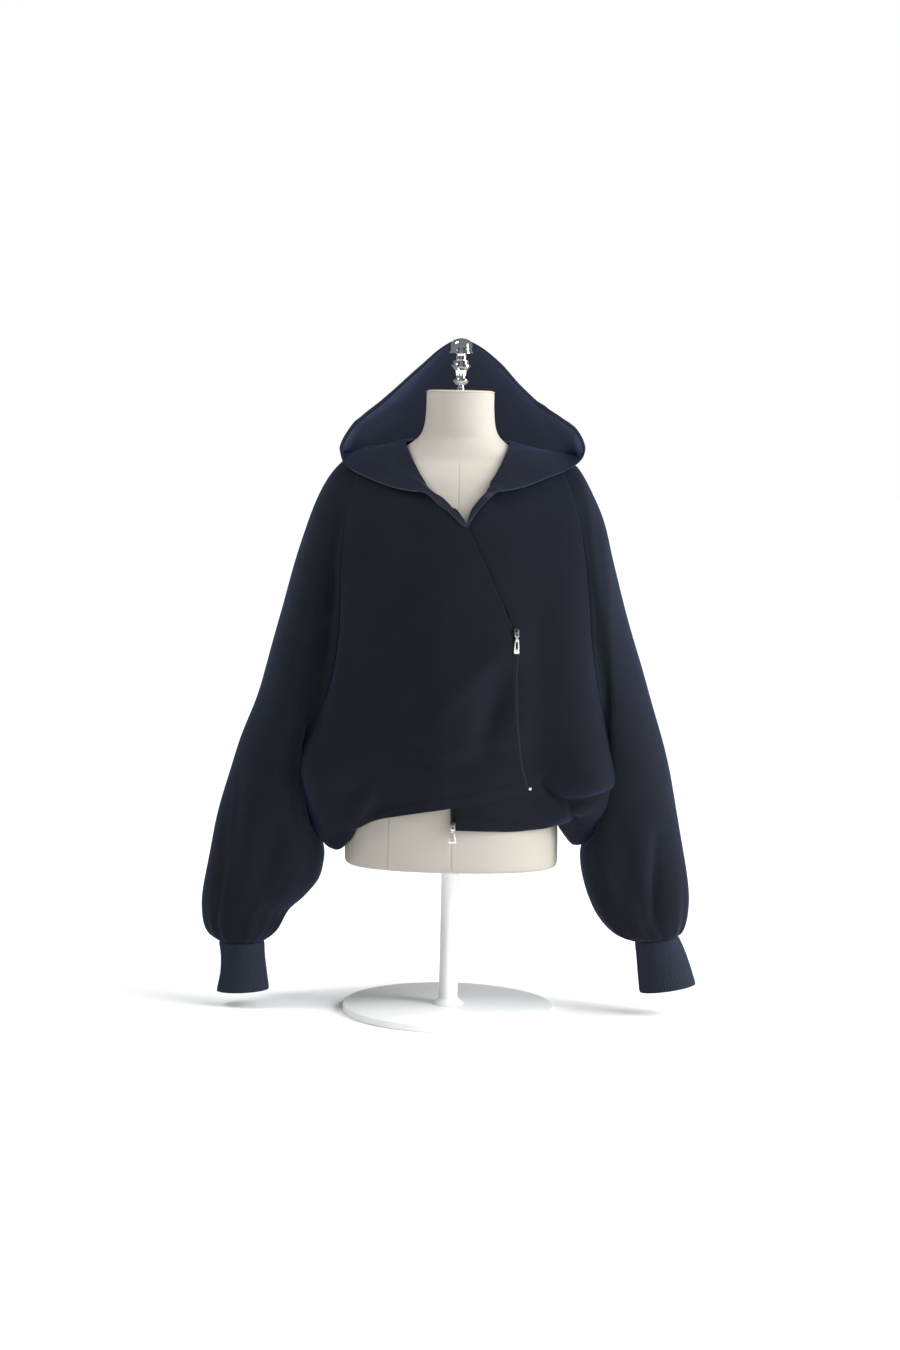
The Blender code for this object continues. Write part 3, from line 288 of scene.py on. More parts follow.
# Hood rows: rim, roll, hollow and under points, then the point at the neck, its angle round the
# neck, or the centre seam's y and z
HOOD = {
    "left": [
        ((-50, -109, 837), (-49, -110, 838), (-47, -109, 839), (-44, -107, 840), (-41, -104, 840)),
        ((-77, -101, 840), (-74, -101, 843), (-68, -98, 848), (-61, -95, 853), 232),
        ((-108, -90, 846), (-105, -89, 850), (-95, -85, 859), (-80, -81, 866), 223),
        ((-148, -66, 860), (-146, -65, 865), (-132, -57, 881), (-104, -45, 897), 210),
        ((-175, -44, 874), (-177, -35, 882), (-164, -12, 899), (-122, -16, 908), 193),
        ((-184.5, -34, 889), (-186.5, -12, 898), (-178, 34, 894), (-138, 44, 901), 165),
        ((-185.5, -22, 905), (-186.5, 6, 910), (-177, 68, 898), (-130, 92, 888), 130),
        ((-172.5, -10, 931), (-173.5, 20, 932), (-162, 92, 909), (-112, 134, 880), 90),
        ((-151, -2, 953), (-153, 28, 955), (-145, 104, 925), (-98, 156, 872), (116, 878)),
        ((-124, 6, 975), (-126, 35, 977), (-123, 112, 945), (-84, 172, 884), (164, 850)),
        ((-93, 13, 1005), (-95, 40, 1006), (-94, 112, 976), (-65, 172, 930), (191, 888)),
        ((-62, 20, 1034), (-64, 44, 1035), (-66, 104, 1010), (-46, 154, 980), (182, 952)),
        ((-35, 25, 1061), (-37, 45, 1060), (-37, 88, 1043), (-27, 124, 1026), (148, 1012)),
        ((-15, 29, 1074.5), (-16, 42, 1074.5), (-16, 64, 1067), (-10, 84, 1060), (98, 1056)),
        ((-0.9, 32, 1077.5), (-1.2, 35, 1077.5), (-1.2, 39, 1077), (-0.8, 43, 1076), (47, 1075)),
    ],
    "right": [
        ((59, -109, 841), (57, -110, 842), (53, -109, 843), (49, -107, 843), (46, -104, 843)),
        ((75, -102, 843), (73, -102, 846), (69, -99, 850), (63, -96, 855), 307),
        ((103, -93, 850), (100, -92, 854), (91, -88, 862), (77, -83, 869), 316),
        ((142, -70, 865), (141, -69, 870), (128, -59, 884), (100, -47, 899), 330),
        ((173, -50, 879), (176, -40, 886), (166, -14, 900), (122, -16, 908), 347),
        ((192, -40, 895), (195, -18, 902), (187, 30, 896), (140, 42, 902), 375),
        ((195, -27, 913), (197, 2, 917), (187, 64, 902), (132, 90, 890), 410),
        ((182, -13, 939), (184, 18, 939), (173, 90, 914), (114, 134, 882), 450),
        ((156, -5, 956), (158, 26, 956), (150, 103, 927), (98, 156, 872), (116, 878)),
        ((126.5, 4, 973), (128.5, 34, 974), (126, 112, 944), (84, 172, 884), (164, 850)),
        ((94.5, 12, 1003), (96.5, 40, 1003), (96, 112, 974), (65, 172, 930), (191, 888)),
        ((65, 20, 1036), (67, 44, 1035), (67, 104, 1008), (46, 154, 980), (182, 952)),
        ((36, 25, 1062), (38, 45, 1061), (38, 88, 1042), (27, 124, 1026), (148, 1012)),
        ((15, 29, 1074.5), (16, 42, 1074.5), (16, 64, 1067), (10, 84, 1060), (98, 1056)),
        ((0.9, 32, 1077.5), (1.2, 35, 1077.5), (1.2, 39, 1077), (0.8, 43, 1076), (47, 1075)),
    ],
}
# Narrow tail of each half along the neck edge: rim x and z, then edge x and z
HOOD_TAIL = {
    "left": [(13.4, 786.5, 14.4, 788.5), (5.5, 790.0, 8.5, 795), (-3, 798, 1.5, 804),
             (-10, 804.5, -4.5, 811), (-17, 811, -11, 817.5), (-31, 820, -23, 829.5)],
    "right": [(14.6, 787.0, 13.6, 789.0), (23, 801, 17, 804), (34, 815.5, 23.5, 817.5),
              (48, 831.5, 35.5, 832.5)],
}
# Lift of the tail off the front, how far and which way it bulges, and its points across
TAIL_LIFT = 3.2
TAIL_BULGE = 1.3
TAIL_WAY = np.array([0, -1, 0.3])
TAIL_SHARES = (0.0, 0.12, 0.45, 0.75, 1.0)
# Rings of the yoke under the hood, the room above them, and how far the neck edge stands off
YOKE_RINGS = 5.0
HOOD_CLEARANCE = 4.4
HOOD_EDGE = 3.0
# Strength of the cloth's soft unevenness, and the hood's points along and across
HOOD_DRAPE = 1.5
HOOD_ROWS = 150
HOOD_COLUMNS = 56
# Rows of each half beside the neck, and half the gap of the centre seam above them
SIDE_ROWS = 6
HALF_SEAM_GAP = 0.3
# Millimetres from an edge of the hood over which its creases set in
HOOD_FADE = {"start": (4.0, 22.0), "end": (4.0, 40.0), "top": (4.0, 60.0)}

# Dress form rings: height, half width, reach to front and back
FORM = [
    (240, 159, 96, 96), (241.5, 167, 104, 105), (248, 170.5, 108, 109), (268, 171, 110, 112),
    (310, 170, 110, 113), (360, 165, 108, 111), (430, 150, 101, 101), (500, 125, 92, 86),
    (550, 117, 92, 80), (610, 130, 104, 86), (680, 150, 124, 92), (720, 158, 127, 93),
    (770, 166, 114, 92), (820, 172, 98, 88), (855, 170, 84, 79), (874, 154, 72, 68),
    (888, 124, 63, 59), (901, 98.2, 58.9, 55.6), (913, 78.3, 55.8, 53.6), (925, 64, 53, 51),
    (940, 57, 53, 50), (965, 54, 52, 50), (992, 53.5, 52, 50), (996, 53, 51, 49), (998, 50, 48, 46),
]
FORM_TOP = 998.0
# Seams of the form: angles, heights where the groove runs out, depth and half width of the groove
FORM_SEAMS = (0, 57, 90, 123, 180, 237, 270)
SEAM_TOP = (872.0, 900.0)
SEAM_DEPTH = 0.9
SEAM_WIDTH = 0.9
# Columns all round, columns beside a seam in degrees, then the rows that its thread runs over
FORM_COLUMNS = 96
BESIDE_SEAM = (-1.1, -0.75, -0.5, -0.25, 0.0, 0.25, 0.5, 0.75, 1.1)
SEAM_ROWS = (2, 15.4)
# Thread of the seams: lift off the groove, then pitch, length and width of a stitch
THREAD_LIFT = 0.25
FORM_STITCH = (2.6, 2.3, 0.6)
# How square the rings below the chest are, and that height
SQUARE = 0.88
CHEST = 830
# Neck trim: its row, half height, and middle and half width of its section
TRIM_ROW = 22.6
TRIM_HEIGHT = 0.9
TRIM_OUT = 0.4
TRIM_WIDTH = 0.55
# Turned profiles: radius and height
FINIAL = [
    (7.4, 0.3), (7.4, 4.5), (5.9, 5.6), (5.9, 8.6), (9.2, 10.4), (13.4, 15.2), (13.4, 17.4),
    (9.4, 19.0), (8.9, 21.0), (11.2, 31.6), (13.4, 33.6), (17.5, 37.0), (17.5, 40.2),
    (13.8, 41.4), (13.8, 46.8), (9.6, 48.8), (9.6, 54.6), (15.4, 56.6), (19.6, 58.2),
    (19.6, 60.8), (17.2, 62.6), (17.2, 72.6), (16.4, 75.4), (12.6, 79.4), (6.6, 81.8), (0.0, 82.6),
]
BASE = [(0.0, 0.0), (169, 0.0), (170, 1.0), (170, 9.6), (169.3, 11.2), (167.6, 12.0), (0.0, 12.0)]
POST = [(0.0, 12.3), (25.2, 12.3), (24.6, 14.0), (16.6, 20.0), (15.0, 22.4), (15.0, 229.7),
        (34.4, 231.4), (36.0, 232.6), (36.0, 239.7), (0.0, 239.7)]


# ---------------------------------------------------------------------------- curves

def curve(values, place):
    """Smooth rows of a table at fractional row numbers."""
    values = np.asarray(values, float)
    place = np.clip(np.asarray(place, float), 0, len(values) - 1)
    index = np.minimum(place.astype(int), len(values) - 2)
    part = place - index
    first, last = index == 0, index + 2 >= len(values)
    if values.ndim > 1:
        part, first, last = part[..., None], first[..., None], last[..., None]
    here, there = values[index], values[index + 1]
    before = np.where(first, 2 * here - there, values[np.maximum(index - 1, 0)])
    after = np.where(last, 2 * there - here, values[np.minimum(index + 2, len(values) - 1)])
    square, cube = part ** 2, part ** 3
    return ((2 * cube - 3 * square + 1) * here + (cube - 2 * square + part) * (there - before) / 2
            + (3 * square - 2 * cube) * there + (cube - square) * (after - here) / 2)


def read_line(rows, value):
    """Second column of a table at values of its first column."""
    rows = np.array(sorted(rows), float)
    keys = rows[:, 0]
    value = np.clip(value, keys[0], keys[-1])
    index = np.clip(np.searchsorted(keys, value, side="right") - 1, 0, len(keys) - 2)
    return curve(rows[:, 1], index + (value - keys[index]) / (keys[index + 1] - keys[index]))


def step(low, high, value):
    """Smooth rise from 0 at the low value to 1 at the high one."""
    part = np.clip((value - low) / (high - low), 0.0, 1.0)
    return part * part * (3 - 2 * part)


def unit(vectors):
    """The same vectors, each one unit long."""
    return vectors / np.maximum(np.linalg.norm(vectors, axis=-1, keepdims=True), 1e-9)


def shares(count):
    """Even shares from 0 to 1 with a few narrow steps at the ends, where an edge is rounded."""
    even = np.linspace(0, 1, count)
    narrow = np.array([0.08, 0.2, 0.4, 0.65]) / (count - 1)
    return np.concatenate([even[:1], narrow, even[1:-1], 1 - narrow[::-1], even[-1:]])


def halve(low, high, before, rounds):
    """Closes in on the place up to which a test holds: both ends of what is left, and last try."""
    for _ in range(rounds):
        middle = (low + high) / 2
        held = before(middle)
        low, high = np.where(held, middle, low), np.where(held, high, middle)
    return low, high, middle


# ---------------------------------------------------------------------------- body surface

def body(place, angle):
    """Points of the body at ring numbers and angles: 0 is right, 90 back, 180 left, 270 front."""
    ring = curve(BODY, place)
    across, along = np.cos(angle), np.sin(angle)
    half = np.where(across > 0, ring[..., RIGHT], ring[..., LEFT])
    depth = np.where(along > 0, ring[..., BACK], ring[..., FRONT])
    end = np.where(along > 0, ring[..., Z_BACK], ring[..., Z_FRONT])
    height = ring[..., Z_SIDE] + (end - ring[..., Z_SIDE]) * along * along
    return np.stack([half * across, depth * along, height], axis=-1)


def outward(place, angle):
    """Directions straight out of the body."""
    down = (body(np.minimum(place + 0.1, LAST_RING), angle)
            - body(np.maximum(place - 0.1, 0), angle))
    around = body(place, angle + 0.02) - body(place, angle - 0.02)
    return unit(np.cross(down, around))


def angle_at_x(place, x, back=False):
    """Angles at which rings pass a place across, at the front or at the back."""
    ring = curve(BODY, place)
    half = np.where(x > 0, ring[..., RIGHT], ring[..., LEFT])
    angle = np.arccos(np.clip(x / half, -1, 1))
    return angle if back else TURN - angle


# Strength of a fold at its ends
FOLD_END = 0.55


def fold_field(folds, x, z):
    """How far folds move the cloth out at places seen from the front."""
    total = np.zeros(np.broadcast(x, z).shape)
    for x_start, z_start, x_end, z_end, width, depth, *lean in folds:
        run_x, run_z = x_end - x_start, z_end - z_start
        length = math.hypot(run_x, run_z)
        part = np.clip(((x - x_start) * run_x + (z - z_start) * run_z) / length ** 2, 0, 1)
        off_x, off_z = x - x_start - run_x * part, z - z_start - run_z * part
        side = (off_x * run_z - off_z * run_x) / length / width
        strength = FOLD_END + (1 - FOLD_END) * np.sin(math.pi * part)
        spread = np.exp(-(off_x ** 2 + off_z ** 2) / width ** 2)
        total += strength * (depth + sum(lean) * side) * spread
    return total


def drape(x, z):
    """Very soft unevenness of a heavy cloth that hangs."""
    return 0.7 * (np.sin(x / 23 + z / 61 + 0.6) * np.sin(z / 47 - x / 71 + 2.1)
                  + 0.6 * np.sin(x / 41 - z / 29 + 1.2) * np.sin(z / 83 + x / 37))


def hem_shift(place, angle, hem):
    """How far the lowest rings move up or down to end on the hem's line."""
    start = LAST_RING - HEM_REACH
    top = body(start, angle)[..., 2]
    end = body(LAST_RING, angle)
    stretch = (read_line(hem, end[..., 0]) - top) / (end[..., 2] - top)
    return np.where(place > start, (body(place, angle)[..., 2] - top) * (stretch - 1), 0.0)


def panel_points(piece, place, angle, lift=0.0):
    """Points of the right front, the left front or the back, lifted off its own surface."""
    place, angle = np.broadcast_arrays(np.asarray(place, float), angle)
    point = body(place, angle)
    fade = step(0.0, SIDE_FADE, np.abs(np.sin(angle)))
    point[..., 2] += hem_shift(place, angle, HEM[piece])
    x, z = point[..., 0].copy(), point[..., 2].copy()
    forward = step(0.0, FORWARD_FADE, -np.sin(angle))
    folds = sum((FOLDS[name] for name in FOLD_PIECES[piece]), [])
    dent = fade * (fold_field(folds, x, z) + drape(x, z))
    for bag_piece, middle_x, middle_z, wide, tall, push in BAGS:
        if bag_piece in FOLD_PIECES[piece]:
            off = ((x - middle_x) / wide) ** 2 + ((z - middle_z) / tall) ** 2
            point[..., 1] -= push * np.exp(-off) * forward
    for side, sign in (("left", -1), ("right", 1)):
        rows = SIDE_PUFF[side]
        near = step(*PUFF_REACH, sign * x)
        point[..., 0] += sign * near * read_line([row[:2] for row in rows], z)
        point[..., 1] -= near * forward * read_line([row[::2] for row in rows], z)
    return point + outward(place, angle) * (dent + lift)[..., None]


def on_front(piece, x, z, lift):
    """Points of a front at given heights, straight above or below x."""
    x, z = np.broadcast_arrays(np.asarray(x, float), np.asarray(z, float))
    place = halve(np.zeros(x.shape), np.full(x.shape, float(LAST_RING)),
                  lambda ring: panel_points(piece, ring, angle_at_x(ring, x))[..., 2] > z,
                  rounds=26)[0]
    return panel_points(piece, place, angle_at_x(place, x), lift)


def side_angle(place, side, back=False):
    """Angle where a panel ends: the armhole between its ends, the side line elsewhere."""
    turn = math.pi if side == "left" else (0.0 if back else TURN)
    x = curve(ARMHOLE[side], place - ARMHOLE_TOP)
    angle = angle_at_x(place, -x if side == "left" else x, back)
    return np.where((place <= ARMHOLE_TOP) | (place >= ARMHOLE_END), turn, angle)


# Shares of a turn between which the fronts' free edges run
FRONT_SHARES = (0.62, 0.88)


def edge_angle(place, edge):
    """Angle at which a front's free edge crosses each ring."""
    def before(angle):
        point = body(place, angle)
        return point[..., 0] < read_line(edge, point[..., 2])

    first, last = (np.full(place.shape, TURN * share) for share in FRONT_SHARES)
    low, high, _ = halve(first, last, before, rounds=36)
    return (low + high) / 2


ARMHOLE_ROWS = 84
COLUMNS = {"right_front": 92, "left_front": 84, "back": 120}
# Rows of the fronts and the back, close together at the shoulder and at the hem
PLACES = np.concatenate([[0, 0.03, 0.08, 0.15], np.linspace(0.25, 3, 12),
                         np.linspace(ARMHOLE_TOP, ARMHOLE_END, ARMHOLE_ROWS + 1)[1:],
                         np.linspace(ARMHOLE_END, LAST_RING, 41)[1:-1],
                         [14.93, 14.97, LAST_RING]])


def right_front_points():
    """The right front, which rises onto the left one where it laps over it."""
    place = PLACES[:, None]
    start, end = side_angle(place, "left"), edge_angle(place, RIGHT_EDGE)
    angle = start + (end - start) * shares(COLUMNS["right_front"])
    point = panel_points("right", place, angle)
    lap = step(*LAP_RAMP, point[..., 0])
    top = body(LAST_RING - HEM_REACH, angle)[..., 2]
    part = np.maximum(place - (LAST_RING - HEM_REACH), 0) / HEM_REACH
    hem = top + (read_line(RIGHT_HEM, point[..., 0]) - top) * part - point[..., 2]
    point[..., 2] += np.where(part > 0, lap * hem, 0.0)
    over = on_front("lap", point[..., 0], point[..., 2], LAP_LIFT)
    return point + (over - point) * lap[..., None]


def left_front_points():
    """The left front, from its free edge under the lap to the right side."""
    place = PLACES[:, None]
    start, end = edge_angle(place, LEFT_EDGE), side_angle(place, "right")
    return panel_points("left", place, start + (end - start) * shares(COLUMNS["left_front"]))


def back_points():
    """The back, from side to side."""
    place = PLACES[:, None]
    start, end = side_angle(place, "right", back=True), side_angle(place, "left", back=True)
    return panel_points("back", place, start + (end - start) * shares(COLUMNS["back"]))


# ---------------------------------------------------------------------------- sleeves and cuffs

def armhole_line(side):
    """Closed line of the armhole: shoulder, down the front, under the arm and up the back."""
    places = np.linspace(ARMHOLE_TOP, ARMHOLE_END, ARMHOLE_ROWS + 1)
    piece = "right" if side == "left" else "left"
    front = panel_points(piece, places, side_angle(places, side))
    back = panel_points("back", places, side_angle(places, side, back=True))
    return np.concatenate([front, back[-2:0:-1]])


def oval_rings(rings, side, angle, square=0.0):
    """Oval rings that start at their outer end and run over the front."""
    sign = -1 if side == "left" else 1
    x_in, z_in, x_out, z_out, front, back = np.moveaxis(rings[..., None, :], -1, 0)
    across, along = np.cos(angle), np.sin(angle)
    middle_x, middle_z = sign * (x_in + x_out) / 2, (z_in + z_out) / 2
    reach_x, reach_z = sign * (x_out - x_in) / 2, (z_out - z_in) / 2
    depth = np.where(along > 0, front, back)
    turn = 1 - square * step(0.1, 0.8, -across) * (along > 0)
    along = np.copysign(np.abs(along) ** turn, along)
    return np.stack([middle_x + reach_x * across, SLEEVE_MIDDLE - depth * along,
                     middle_z + reach_z * across], axis=-1)


def gathers(side, angle):
    """Uneven waves round the end of a sleeve, about -1 to 1."""
    shift = GATHER_SHIFT[side]
    waves = sum(height * np.sin(count * angle + part * shift)
                for count, part, height in GATHER_WAVES)
    return waves * (0.8 + 0.2 * np.sin(3 * angle + shift))


def sleeve_points(side):
    """A sleeve, from the armhole's line through its folds to the gathers at the cuff."""
    armhole = armhole_line(side)
    angle = TURN * np.arange(len(armhole)) / len(armhole)
    rings = np.array([ARMHOLE_RING[side], *SLEEVE[side]], float)
    last = len(rings) - 1
    place = np.concatenate([[0, 0.03, 0.08, 0.15, 0.25, 0.4, 0.55],
                            np.linspace(0.7, last - 4, 46),
                            np.linspace(last - 4, last, 36)[1:-1], [last - 0.03, last]])
    points = oval_rings(curve(rings, place), side, angle, SLEEVE_SQUARE[side])
    ideal = oval_rings(rings[:1], side, angle, SLEEVE_SQUARE[side])[0]
    keep = np.maximum(curve(KEEP_ARMHOLE, place), 0.0)[:, None, None]
    middle = points.mean(axis=1, keepdims=True)
    points = points + (armhole - ideal) * keep
    x, z = points[..., 0], points[..., 2]
    along = np.sin(angle)
    folds = SLEEVE_FOLDS[side]
    dent = np.where(along > 0, fold_field(folds["front"], x, z), fold_field(folds["back"], x, z))
    dent = dent * np.abs(along) + SLEEVE_DRAPE * drape(x, z)
    dent = dent * (step(0.0, 0.9, place) * (1 - step(last - 2, last, place)))[:, None]
    close = step(last - 4.5, last - 0.8, place) * (1 - 0.75 * step(last - 0.5, last, place))
    dent = dent + GATHER_HEIGHT * close[:, None] * gathers(side, angle)
    points = points + unit(points - middle) * dent[..., None]
    return np.concatenate([points, points[:, :1]], axis=1)


POINTS_PER_RIB = 6


def cuff_points(side, ribs, relief):
    """A cuff with its ribs, which flatten at both ends."""
    count = ribs * POINTS_PER_RIB
    angle = TURN * np.arange(count) / count
    place = np.concatenate([[0, 0.03, 0.08], np.linspace(0.16, 2.86, 20), [2.93, 2.97, 3.0]])
    points = oval_rings(curve(np.array(CUFF[side], float), place), side, angle)
    middle = points.mean(axis=1, keepdims=True)
    shape = np.cos(ribs * angle) ** 3 * relief
    pull = 1 - 0.6 * np.exp(-(place / 0.12) ** 2) - 0.6 * np.exp(-((3 - place) / 0.08) ** 2)
    points = points + unit(points - middle) * (shape * pull[:, None])[..., None]
    return np.concatenate([points, points[:, :1]], axis=1)


# ---------------------------------------------------------------------------- hood

def off_yoke(point):
    """Raises points of the hood where they would sink into the yoke."""
    x, y = point[..., 0], point[..., 1]

    def reach(place):
        ring = curve(BODY, place)
        half = np.where(x > 0, ring[..., RIGHT], ring[..., LEFT])
        depth = np.where(y > 0, ring[..., BACK], ring[..., FRONT])
        return x / half, y / depth

    low, high, middle = halve(np.zeros(x.shape), np.full(x.shape, YOKE_RINGS),
                              lambda place: np.hypot(*reach(place)) > 1, rounds=22)
    across, along = reach(middle)
    angle = np.arctan2(along, across)
    clear = (panel_points("lap", low, angle)[..., 2]
             + HOOD_CLEARANCE / np.maximum(outward(low, angle)[..., 2], 0.5))
    beyond = (low < 0.001) | (high > YOKE_RINGS - 0.001)
    raised = point.copy()
    raised[..., 2] = np.where(beyond, point[..., 2], np.maximum(point[..., 2], clear))
    return raised


def hood_tail(side):
    """Stations from the point of the neck up to the front corner of a half of the hood."""
    panel = "lap" if side == "left" else "left"
    rows = []
    for x_rim, z_rim, x_edge, z_edge in HOOD_TAIL[side]:
        lift = TAIL_LIFT + (LAP_LIFT * step(*LAP_RAMP, x_rim) if side == "left" else 0.0)
        rim, edge = on_front(panel, x_rim, z_rim, lift), on_front(panel, x_edge, z_edge, lift)
        rim[2], edge[2] = z_rim, z_edge
        rows.append([rim + (edge - rim) * part
                     + TAIL_WAY * TAIL_BULGE * math.sin(math.pi * part) for part in TAIL_SHARES])
    return rows


def hood_points(side):
    """Rows run from the front point round the neck to the peak, columns from rim to seam."""
    sign = -1 if side == "left" else 1
    stations = hood_tail(side)
    tail = len(stations)
    for rim, roll, hollow, under, inner in HOOD[side]:
        if isinstance(inner, tuple):
            seam = inner if len(inner) == 3 else (0.0, *inner)
        else:
            angle = np.array(math.radians(inner))
            seam = body(0.0, angle) + outward(0.1, angle) * HOOD_EDGE
        stations.append([rim, roll, hollow, under, seam])
    stations = np.array(stations, float)
    place = (len(stations) - 1) * shares(HOOD_ROWS)
    across = 4 * shares(HOOD_COLUMNS)
    lines = curve(stations.reshape(len(stations), -1), place).reshape(len(place), 5, 3)
    points = np.stack([curve(line, across) for line in lines])
    inward = surface_normals(points)
    inward = inward * -np.copysign(1.0, inward[..., 1:2])
    far = distances(points)
    fade = math.prod(step(*HOOD_FADE[edge], far[edge]) for edge in HOOD_FADE)
    x, z = points[..., 0], points[..., 2]
    dent = fold_field(HOOD_CREASES[side], x, z) + HOOD_DRAPE * drape(x, z)
    points = points + inward * (dent * fade)[..., None]
    inside = np.maximum(sign * points[..., 0], HALF_SEAM_GAP)
    points[..., 0] = np.where(place[:, None] > tail + SIDE_ROWS, sign * inside, points[..., 0])
    clear = step(tail - 0.2, tail + 0.8, place)[:, None, None]
    return points + (off_yoke(points) - points) * clear


# ---------------------------------------------------------------------------- shells

def distances(points):
    """Millimetres of cloth from the first column, last column, first row and last row."""
    across = np.linalg.norm(np.diff(points, axis=1), axis=2).cumsum(axis=1)
    across = np.concatenate([np.zeros((len(points), 1)), across], axis=1)
    along = np.linalg.norm(np.diff(points, axis=0), axis=2).cumsum(axis=0)
    along = np.concatenate([np.zeros((1, points.shape[1])), along], axis=0)
    return {"start": across, "end": across[:, -1:] - across,
            "top": along, "bottom": along[-1:] - along}


def surface_normals(points):
    """Directions straight out of a grid of points."""
    return unit(np.cross(np.gradient(points, axis=0), np.gradient(points, axis=1)))


# The wall is given in shares of the thickest one. Each kind of edge adds shares to the plain wall,
# which fade out between two distances from the edge
THICKEST = 4.0
PLAIN = CLOTH / THICKEST
THINNEST_SHARE = 0.1
EDGE_SHARES = {
    "seam": [(-0.30, 0.0, 3.0)],
    "hem": [(0.16, 19.5, 21.5), (-0.22, 0.0, 1.6)],
    "rim": [(0.34, 2.2, 4.6), (-0.30, 0.0, 1.2)],
    "free": [(-0.12, 0.0, 1.2)],
}
CUFF_WALL = 0.6


def shell(name, points, material, edges, closed=False, thickest=THICKEST, plain=PLAIN, heart=None):
    """One piece of cloth: a grid moved onto the given points, with a wall of its own thickness.

    Its right side faces away from the heart, and its reverse side has a finish of its own.
    """
    rows, columns = points.shape[:2]
    far = distances(points)
    share = np.full((rows, columns), plain)
    for edge, kind in edges.items():
        share = share + sum(more * (1 - step(near, end, far[edge]))
                            for more, near, end in EDGE_SHARES[kind])
    share = np.clip(share, THINNEST_SHARE, 1.0)
    mesh_data = bmesh.new()
    bmesh.ops.create_grid(mesh_data, x_segments=columns - 1, y_segments=rows - 1, size=0.5)
    weights = mesh_data.verts.layers.deform.verify()
    chart = mesh_data.loops.layers.uv.new("cloth")
    places = {}
    for vertex in mesh_data.verts:
        column = round((vertex.co.x + 0.5) * (columns - 1))
        row = round((vertex.co.y + 0.5) * (rows - 1))
        places[vertex] = (far["start"][row, column] * MM, far["top"][row, column] * MM)
        vertex.co = points[row, column] * MM
        vertex[weights][0] = share[row, column]
    for face in mesh_data.faces:
        for loop in face.loops:
            loop[chart].uv = places[loop.vert]
    if closed:
        bmesh.ops.remove_doubles(mesh_data, verts=mesh_data.verts, dist=TOUCH)
    if heart:
        mesh_data.normal_update()
        outside = sum(face.normal.dot(face.calc_center_median() - Vector(heart) * MM)
                      * face.calc_area() for face in mesh_data.faces)
        if outside < 0:
            bmesh.ops.reverse_faces(mesh_data, faces=mesh_data.faces)
    piece = finished(name, mesh_data, material)
    piece.vertex_groups.new(name="wall")
    wall = piece.modifiers.new("wall", "SOLIDIFY")
    wall.thickness = thickest * MM
    wall.offset = 0.0
    wall.use_even_offset = True
    wall.vertex_group = "wall"
    wall.thickness_vertex_group = 0.0
    if heart:
        piece.data.materials.append(finish_named("navy_reverse"))
        wall.material_offset = 1
    return piece


def placed(name, mesh_data, material):
    """Turns a bmesh into a named object that stands in place."""
    mesh = bpy.data.meshes.new(name)
    mesh_data.to_mesh(mesh)
    mesh_data.free()
    mesh.materials.append(material)
    piece = bpy.data.objects.new(name, mesh)
    bpy.context.scene.collection.objects.link(piece)
    return piece


def finished(name, mesh_data, material, smooth=True, body_name=BODY_NAME):
    """A placed piece that rides on a body, the garment's own if none is named."""
    piece = placed(name, mesh_data, material)
    if smooth:
        piece.data.shade_smooth()
    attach(piece, body_name)
    return piece


def cloth_area(points):
    """Area of a piece of cloth in square metres, and its mean width and length in metres."""
    far = distances(points)
    width = far["start"][:, -1].mean() * MM
    length = far["top"][-1].mean() * MM
    across, along = np.diff(points, axis=1)[:-1], np.diff(points, axis=0)[:, :-1]
    return np.linalg.norm(np.cross(across, along), axis=2).sum() * MM * MM, width, length


# Least width and length taken for a flat cut in metres, and the room that a short one is given
LEAST_CUT = 0.02
CUT_ROOM = 1.02


def declare(points):
    """Works out the flat cut of a piece of cloth; the result is neither kept nor stated."""
    area, width, length = cloth_area(points)
    width, length = max(width, LEAST_CUT), max(length, LEAST_CUT)
    if area > width * length:
        length = area / width * CUT_ROOM


def line_at(points, normals, edge, distance, lift):
    """Line on a piece of cloth at a distance from one of its edges."""
    far = distances(points)[edge]
    by_column = edge in ("top", "bottom")
    lines = []
    for number in range(points.shape[1] if by_column else points.shape[0]):
        pick = (slice(None), number) if by_column else (number, slice(None))
        order = np.argsort(far[pick])
        keys = far[pick][order]
        place = np.concatenate([points[pick][order], normals[pick][order]], axis=1)
        lines.append([np.interp(distance, keys, place[:, axis]) for axis in range(6)])
    lines = np.array(lines)
    out = unit(lines[:, 3:])
    return lines[:, :3] + out * lift, out


# Millimetres ahead to which the direction of a line is taken
STRIDE = 0.5


def spaced_frames(line, out, pitch):
    """Places along a line with their run and outward directions, one for each pitch."""
    along = np.concatenate([[0], np.linalg.norm(np.diff(line, axis=0), axis=1).cumsum()])
    at = np.arange(pitch / 2, along[-1], pitch)
    place = np.stack([np.interp(at, along, line[:, axis]) for axis in range(3)], axis=1)
    ahead = np.stack([np.interp(at + STRIDE, along, line[:, axis]) for axis in range(3)], axis=1)
    normal = np.stack([np.interp(at, along, out[:, axis]) for axis in range(3)], axis=1)
    run = unit(ahead - place)
    normal = unit(normal - run * (normal * run).sum(axis=1, keepdims=True))
    return place, run, normal


def frame_matrix(place, run, normal, size):
    """Matrix that puts a unit shape at a place: x runs along, z points out."""
    side = np.cross(normal, run)
    return Matrix([[*(run[axis] * size[0], side[axis] * size[1], normal[axis] * size[2]),
                    place[axis]] for axis in range(3)] + [[0, 0, 0, 1]])


def add_stitches(mesh_data, line, out, pitch, length, thick):
    """Row of stitches along a line, each a little flat bead."""
    for place, run, normal in zip(*spaced_frames(line, out, pitch)):
        size = (length / 2 * MM, thick / 2 * MM, thick / 2.4 * MM)
        bmesh.ops.create_icosphere(mesh_data, subdivisions=1, radius=1.0,
                                   matrix=frame_matrix(place * MM, run, normal, size))


